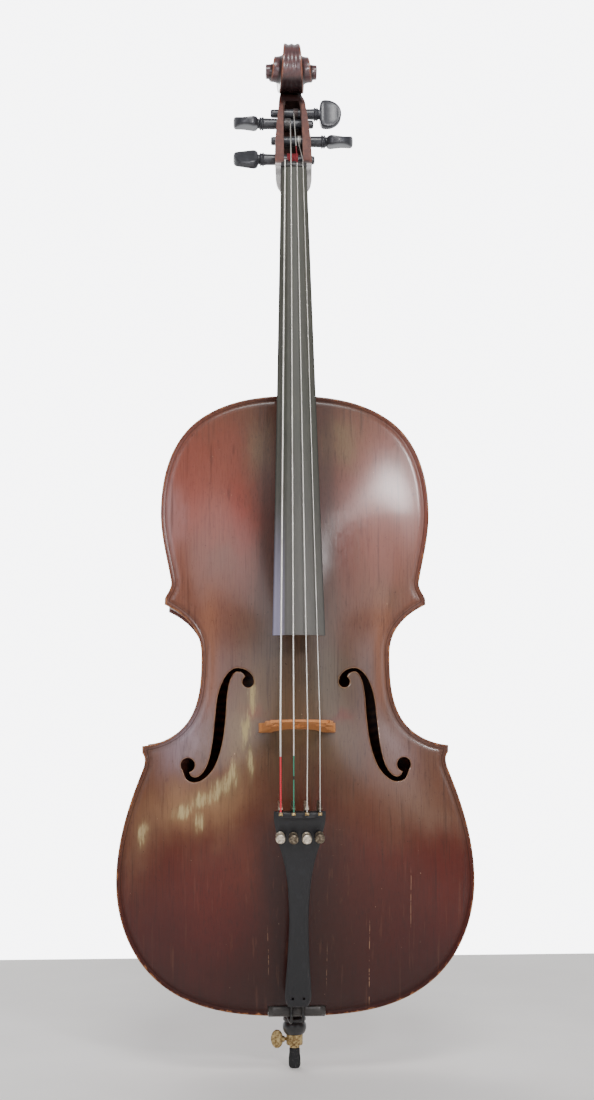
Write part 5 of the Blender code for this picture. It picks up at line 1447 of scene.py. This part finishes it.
# ---- pegs ----------------------------------------------------------------------------------------
# a peg leaf's sections outwards from its shoulder: along, half height, half thickness
LEAF = [(-16.5, 6.8, 5.2), (-15.8, 11.6, 5.9), (-14.2, 16.3, 6.6), (-11, 19, 7.0), (-6.3, 19.8, 6.2),
        (-1, 19.6, 5.5), (4.2, 18, 5.3), (9, 15, 5.9), (12.7, 11, 6.7), (15, 6.8, 6.6), (16.1, 3.5, 5.0),
        (16.5, 1.3, 3.0)]
LEAF_POWER = 0.4         # roundness of a leaf's section; lower is squarer
# the rings of its shaft at the collar: radius, distance out from the collar's place
COLLAR = [(7.3, -4.0), (7.4, -3.2), (8.5, -2.8), (9.0, -1.9), (8.6, -0.9), (7.6, -0.4), (7.6, 0.1),
          (8.4, 0.5), (8.8, 1.3), (8.3, 2.1), (7.2, 2.5), (6.5, 3.4), (6.4, 4.6), (6.9, 6.2), (5.4, 9.0)]


def build_peg(name, side, y, z, angle, shift, stretch):
    """A peg: thick tapered shaft, two collar rings and a leaf with hollow faces and a thick rim."""
    collar = 30.0 + shift
    middle = collar + 4.4 - LEAF[0][0] * stretch
    tip = -27.8
    profile = [(2.0, tip - 1.0), (4.2, tip - 0.7), (5.0, tip), (peg_radius(tip) - 0.1, tip + 1.0)]
    profile += [(peg_radius(d), d) for d in (-26, 24)]
    profile += [(radius, collar + d) for radius, d in COLLAR]
    shaft = turned(profile, (0, y, z), (side, 0, 0), 56)
    turn = math.radians(angle)
    rings = []
    for along, half, thick in smooth(LEAF, 3):
        ring = []
        for k in range(44):
            a = math.tau * k / 44
            cosine, sine = math.cos(a), math.sin(a)
            up = half * math.copysign(abs(cosine) ** LEAF_POWER, cosine)
            depth = thick * math.copysign(abs(sine) ** LEAF_POWER, sine)
            ring.append((side * (middle + along * stretch), y + up * math.sin(turn) + depth * math.cos(turn),
                         z + up * math.cos(turn) - depth * math.sin(turn)))
        rings.append(ring)
    whole = closed(combine(shaft, [loft(rings)], "UNION"), 1e-3)
    put(whole, f"turned_peg_{name}", PEG_BLACK, f"peg_body_{name}", (f"peg_{name}",), 32)


def build_pegs():
    """Four tuning pegs and the string windings on them."""
    for name, (side, z, y, angle, shift, stretch) in PEGS.items():
        build_peg(name, side, y, z, angle, shift, stretch)
        diameter, x_nut = STRINGS[name][2], STRINGS[name][1]
        radius = peg_radius(0) + diameter / 2 + 0.15
        turns = {"C": 6.4, "A": 3.4}.get(name, 4.4)   # as many as the pegbox holds beside the string
        start = x_nut * PEG_X_SHARE
        toward = (diameter + 0.12) * (1 if name == "C" else side)
        route = []
        for k in range(int(turns * 24) + 1):
            a = math.radians(200) - math.tau * k / 24
            route.append((start + toward * (k / 24), y + radius * math.cos(a), z + radius * math.sin(a)))
        put(tube(route, diameter / 2, 10), f"winding_{name}", WINDING_LOOKS[name], f"peg_body_{name}", (),
            60)


# ---- strings -------------------------------------------------------------------------------------
STEEL = shade(228, 224, 216)
DARK_RED = shade(132, 26, 36)
STRING_LOOKS = {
    "C": string_look("string_c", STEEL, [(246, 309, RED)]),
    "G": string_look("string_g", STEEL, [(246, 310, GREEN), (283, 287, shade(16, 18, 18))]),
    "D": string_look("string_d", STEEL, [(331, 351, shade(206, 200, 190)), (1064, 1094, DARK_RED)]),
    "A": string_look("string_a", STEEL),
}
WINDING_LOOKS = {
    "C": string_look("winding_c", STEEL, [(1000, 1200, DARK_RED)]),
    "G": string_look("winding_g", shade(120, 118, 116)),
    "D": string_look("winding_d", shade(96, 84, 82)),
    "A": string_look("winding_a", STEEL),
}


def string_route(name):
    """Points of a string from its tuner's hook over bridge and nut to its peg."""
    x_bridge, x_nut, diameter, _ = STRINGS[name]
    half = diameter / 2
    _, peg_z, peg_y, *_ = PEGS[name]
    stem = tail_point(TAIL_HOLES[list(STRINGS).index(name)], STEM_SHARE, 0)
    hook = stem + TAIL_DOWN * -HOOK_REACH + TAIL_OUT * (HOOK_RISE + half)
    top = np.array(bridge_point(x_bridge, string_height(x_bridge) + GAP + half, 0))
    crown = nut_crown(x_nut)
    nut = np.array([x_nut, crown - GAP - half, NUT_Z + 0.5])
    behind = np.array([x_nut, crown - half + 1.0, NUT_Z + 8.5])
    reach = peg_radius(0) + half + GAP
    peg = np.array([x_nut * PEG_X_SHARE, peg_y - reach * 0.94, peg_z - reach * 0.34])
    return [hook - (top - hook) * 0.03, top, nut, behind, peg]


def eased(points, reach):
    """A polyline with its corners rounded over a reach on both sides."""
    route = [points[0]]
    for before, corner, after in zip(points, points[1:], points[2:]):
        start = corner + (before - corner) / np.linalg.norm(before - corner) * reach
        end = corner + (after - corner) / np.linalg.norm(after - corner) * reach
        for t in np.linspace(0, 1, 7):
            route.append((1 - t) ** 2 * start + 2 * t * (1 - t) * corner + t * t * end)
    return route + [points[-1]]


def build_strings():
    """Four wound strings with their silks, and the ball ends that the levers hold."""
    for name, (_, _, diameter, _) in STRINGS.items():
        knots = string_route(name)
        put(tube(eased(knots, 1.6), diameter / 2, 14), f"wound_string_{name}", STRING_LOOKS[name], "root",
            (f"string_{name}",), 60)
        x = TAIL_HOLES[list(STRINGS).index(name)]
        base = knots[0] + TAIL_DOWN * 2.2
        ball = turned([(0.9, -2.2), (1.9, -2.2), (2.2, -1.8), (1.7, -0.7), (1.7, 0.7), (2.2, 1.8),
                       (1.9, 2.2), (0.9, 2.2)],
                      (x, base[1], base[2]), (1, 0, 0), 28)
        put(ball, f"ball_end_{name}", BRASS, "root", (), 40)


# ---- saddle, tail loop and endpin ----------------------------------------------------------------
def build_saddle_and_loop():
    """Rounded saddle let into the belly's lower edge, and the loop that passes over it."""
    rings = []
    high, low, foot = BODY_Z + 12, BODY_Z - 1.0, -RIB_HALF - GAP
    for x in np.concatenate([[-34, -33.8, -33.3], np.linspace(-32.5, 32.5, 53), [33.3, 33.8, 34]]):
        ease = min(1.0, (34 - abs(x)) / 7)
        end = 0.8 * max(0.0, 1 - (34 - abs(x)) / 0.8)
        raised = 4.5 * (0.5 - 0.5 * math.cos(math.pi * ease))
        dip = 0.7 * math.exp(-((abs(x) - 6.9) / 1.6) ** 2)
        top = -RIB_HALF - PLATE_EDGE - 1.0 - raised + end + dip
        profile = [(foot, low + end), (foot, high - end), (top + 2.2, high - end),
                   (top + 0.7, high - 0.7 - end), (top, high - 2.4), (top - 0.1, (low + high) / 2),
                   (top, low + 4.2), (top + 0.6, low + 3.0), (top + 1.8, low + 2.2 + end)]
        rings.append([(x, y, z) for y, z in profile])
    put(loft(rings), "rounded_saddle", SADDLE_BLACK, "root", ("saddle",), 40)
    radius = 1.5
    around = 9.6 + radius + 0.4
    route = []
    for side in (-1, 1):
        end = tail_point(LOOP_HOLE_X * side, LOOP_HOLE_SHARE, -6.8)
        over = np.array([6.8 * side, -RIB_HALF - PLATE_EDGE - 5.5 - radius - GAP - 1.0, BODY_Z + 10.5])
        edge = np.array([7.0 * side, over[1] - 0.3, BODY_Z - 0.5])
        turn = np.array([7.4 * side, -RIB_HALF - PLATE_EDGE - 1.5, BODY_Z - 7.0])
        arm = np.array([9.5 * side, -30.0, BODY_Z - 8.0])
        line = smooth([end, over, edge, turn, arm, (around * side, 0, BODY_Z - 7.0)], 9)
        arc = [(around * side * math.cos(a), around * math.sin(a), BODY_Z - 7.0)
               for a in np.linspace(0.12, math.pi / 2, 14)]
        half = [tuple(p) for p in line] + arc
        route = half if side < 0 else route + half[::-1][1:]
    put(tube(route, radius, 16), "looped_tailgut", LOOP_BLACK, "root", ("tail_loop",), 60)


def bored(profile, base, radius, steps=72):
    """A turned sleeve: the outer profile and a straight bore as one closed skin."""
    first, last = profile[0][1], profile[-1][1]
    skin = [(radius, first), *profile, (radius, last)]
    rings = []
    for r, distance in skin:
        rings.append([(r * math.cos(a), r * math.sin(a), base + distance)
                      for a in np.linspace(0, math.tau, steps, endpoint=False)])
    points = [p for ring in rings for p in ring]
    return mesh_from(points, ring_faces(len(rings), steps, True))


ROD_RADIUS = 5.0
ROD_TOP = BODY_Z + 360.0
TIP_HEIGHT = 24.0


def build_endpin():
    """Turned plug, brass ferrule, winged thumb screw, steel rod and rubber tip."""
    bore = ROD_RADIUS + GAP
    collar = [(10.2, 38), (11.6, 3.7), (13.2, 3.7), (13.6, 3.3), (13.6, -0.6), (13.2, -1.0), (10.0, -2.3),
              (9.6, -2.9), (9.6, -11.0), (10.2, -11.8), (13.6, -13.4), (14.2, -14.2), (14.3, -15.6),
              (13.9, -17.0), (12.7, -17.8), (12.5, -18.4), (13.4, -19.6), (14.4, -21.6), (14.7, -24.0),
              (14.6, -26.6), (13.8, -29.4), (12.6, -31.8), (11.5, -33.0)]
    put(bored(collar, BODY_Z, bore), "turned_plug", PLUG_BLACK, "root", ("endpin_plug",), 35)
    screw_z = BODY_Z - 39.5
    sleeve = [(9.6, -33.3), (10.2, -33.8), (10.2, -36.0), (9.9, -36.3), (9.9, -36.7), (10.2, -37.0),
              (10.2, -43.8), (9.9, -44.1), (9.9, -44.5), (10.2, -44.8), (10.1, -45.6), (9.4, -46.3)]
    hole = turned([(2.5, 2), (2.5, 20)], (0, 0, screw_z), (-1, 0, 0), 32)
    ferrule = closed(combine(bored(sleeve, BODY_Z, bore), [hole], "DIFFERENCE"), 1e-3)
    put(ferrule, "turned_ferrule", BRASS, "root", ("endpin_ferrule",), 32)
    thread = [(2.2 - 0.22 * (k % 2), ROD_RADIUS + 2 * GAP + 0.35 * k) for k in range(18)]
    shank = turned(thread + [(2.2, 12.0), (3.4, 12.2), (3.7, 12.6), (3.7, 15.1), (3.4, 15.5), (2.6, 16.5)],
                   (0, 0, screw_z), (-1, 0, 0), 40)
    rings = []
    for k in range(9):
        depth = -1.6 + 3.2 * k / 8
        inset = 1.1 * (abs(depth) / 1.6) ** 3
        rings.append([(-21.5 - (7.6 - inset) * math.cos(a), depth, screw_z + (11.0 - inset) * math.sin(a))
                      for a in np.linspace(0, math.tau, 56, endpoint=False)])
    screw = closed(combine(shank, [loft(rings)], "UNION"), 1e-3)
    put(screw, "winged_screw", BRASS, "thumb_screw_body", ("thumb_screw",), 32)
    rod = turned([(ROD_RADIUS - 0.6, TIP_HEIGHT - 8), (ROD_RADIUS, TIP_HEIGHT - 7.4),
                  (ROD_RADIUS, ROD_TOP - 0.8), (ROD_RADIUS - 0.8, ROD_TOP)], (0, 0, 0), (0, 0, 1), 64)
    put(rod, "ground_rod", ROD_STEEL, "endpin_body", ("endpin_rod",), 32)
    sleeve = bored([(5.9, 0.3), (6.2, 0.6), (6.2, 2.6), (5.9, 2.9)], TIP_HEIGHT, ROD_RADIUS + 0.1)
    put(sleeve, "tip_sleeve", BRASS, "endpin_body", (), 32)
    profile = [(0.5, 0.0), (4.3, 0.0), (5.5, 0.5), (6.4, 1.4), (7.0, 2.8), (7.3, 4.6), (7.3, 11.6),
               (7.1, 13.6), (6.7, 16.2), (6.5, 18.6), (6.45, 22.9), (6.2, 23.6), (5.6, TIP_HEIGHT),
               (4.0, TIP_HEIGHT)]
    tip = turned(profile, (0, 0, 0), (0, 0, 1), 64)
    socket = turned([(bore, TIP_HEIGHT - 8 - GAP), (bore, TIP_HEIGHT + 5)], (0, 0, 0), (0, 0, 1), 40)
    tip = closed(combine(tip, [socket], "DIFFERENCE"), 1e-3)
    put(tip, "moulded_tip", RUBBER, "endpin_body", ("rubber_tip",), 32)


# ---- floor, lights and camera --------------------------------------------------------------------
def pale_floor():
    """A plain pale floor, ending a little behind the instrument."""
    mesh = mesh_from([(x * side, y, z) for z in (-4, 0) for y in (-2600, 800)
                      for x, side in ((2600, -1), (2600, 1))],
                     [(0, 1, 3, 2), (4, 5, 7, 6), (0, 1, 5, 4), (2, 3, 7, 6), (0, 2, 6, 4), (1, 3, 7, 5)])
    look = Look("floor_pale", roughness=0.8, level=0.2)
    grain = look.noise(160, (1, 1, 1), 2.0, 0.5, 0.0)
    colour = look.blend(shade(206, 203, 200), shade(218, 216, 213), grain)
    look.feed(look.shader.inputs["Emission Color"], colour)
    look.feed(look.shader.inputs["Emission Strength"], 0.22)
    for vertex in mesh.vertices:
        vertex.co = vertex.co * MM
    floor = linked("floor", mesh)
    mesh.materials.append(look.finish(colour))


def soft_light(name, place, target, size, power, colour=(1, 1, 1)):
    """A large rectangular soft light aimed at a point."""
    data = bpy.data.lights.new(name, "AREA")
    data.shape = "RECTANGLE"
    data.size, data.size_y = size
    data.energy = power
    data.color = colour
    lamp = linked(name, data)
    lamp.location = place
    lamp.rotation_euler = (Vector(target) - Vector(place)).to_track_quat("-Z", "Y").to_euler()


def light_and_camera():
    """Plain soft studio light, and the camera low in front of the instrument."""
    world = bpy.data.worlds.new("studio")
    world.use_nodes = True
    tree = world.node_tree
    lighting = tree.nodes["Background"]
    lighting.inputs["Color"].default_value = (0.93, 0.94, 0.97, 1)
    facing = tree.nodes.new("ShaderNodeTexCoord")
    split = tree.nodes.new("ShaderNodeSeparateXYZ")
    wall = tree.nodes.new("ShaderNodeMapRange")
    wall.interpolation_type = "SMOOTHSTEP"
    for key, value in (("From Min", 0.0), ("From Max", 0.5), ("To Min", 0.16), ("To Max", 1.3)):
        wall.inputs[key].default_value = value
    backdrop = tree.nodes.new("ShaderNodeBackground")
    backdrop.inputs["Color"].default_value = (0.97, 0.97, 1.0, 1)
    backdrop.inputs["Strength"].default_value = 7.0
    seen = tree.nodes.new("ShaderNodeLightPath")
    mixed = tree.nodes.new("ShaderNodeMixShader")
    tree.links.new(facing.outputs["Generated"], split.inputs[0])
    tree.links.new(split.outputs["Y"], wall.inputs["Value"])
    tree.links.new(wall.outputs[0], lighting.inputs["Strength"])
    tree.links.new(seen.outputs["Is Camera Ray"], mixed.inputs[0])
    tree.links.new(lighting.outputs[0], mixed.inputs[1])
    tree.links.new(backdrop.outputs[0], mixed.inputs[2])
    tree.links.new(mixed.outputs[0], tree.nodes["World Output"].inputs["Surface"])
    bpy.context.scene.world = world
    middle = (0.0, 0.0, 0.75)
    soft_light("key_right", (0.68, -2.0, 1.16), middle, (0.2, 0.26), 18.0, (1.0, 0.98, 1.0))
    soft_light("window_right", (1.25, -1.9, 0.8), middle, (0.6, 0.8), 6.0, (0.96, 0.95, 1.0))
    soft_light("fill_left", (-1.1, -1.8, 1.0), middle, (1.1, 0.9), 13.0, (0.93, 0.92, 1.0))
    soft_light("top", (0.0, -2.5, 2.9), (0, 0, 0.9), (1.4, 0.8), 75.0)
    soft_light("behind", (-0.8, 2.3, 1.9), middle, (1.2, 1.2), 40.0)
    data = bpy.data.cameras.new("camera")
    data.sensor_width = 36.0
    data.lens = 45.37
    camera = linked("camera", data)
    pitch, yaw, roll = 0.121, 0.048, -0.003
    ahead = Vector((math.sin(yaw) * math.cos(pitch), math.cos(yaw) * math.cos(pitch), math.sin(pitch)))
    camera.rotation_mode = "QUATERNION"
    camera.rotation_quaternion = ahead.to_track_quat("-Z", "Y") @ Quaternion((0, 0, 1), roll)
    camera.location = (-0.080, -1.767, 0.426)
    bpy.context.scene.camera = camera


build_plates()
build_ribs()
build_inner_wood()
build_neck()
build_board()
build_bridge()
build_tailpiece()
build_tuners()
build_pegs()
build_strings()
build_saddle_and_loop()
build_endpin()
pale_floor()
light_and_camera()

bpy.context.view_layer.update()
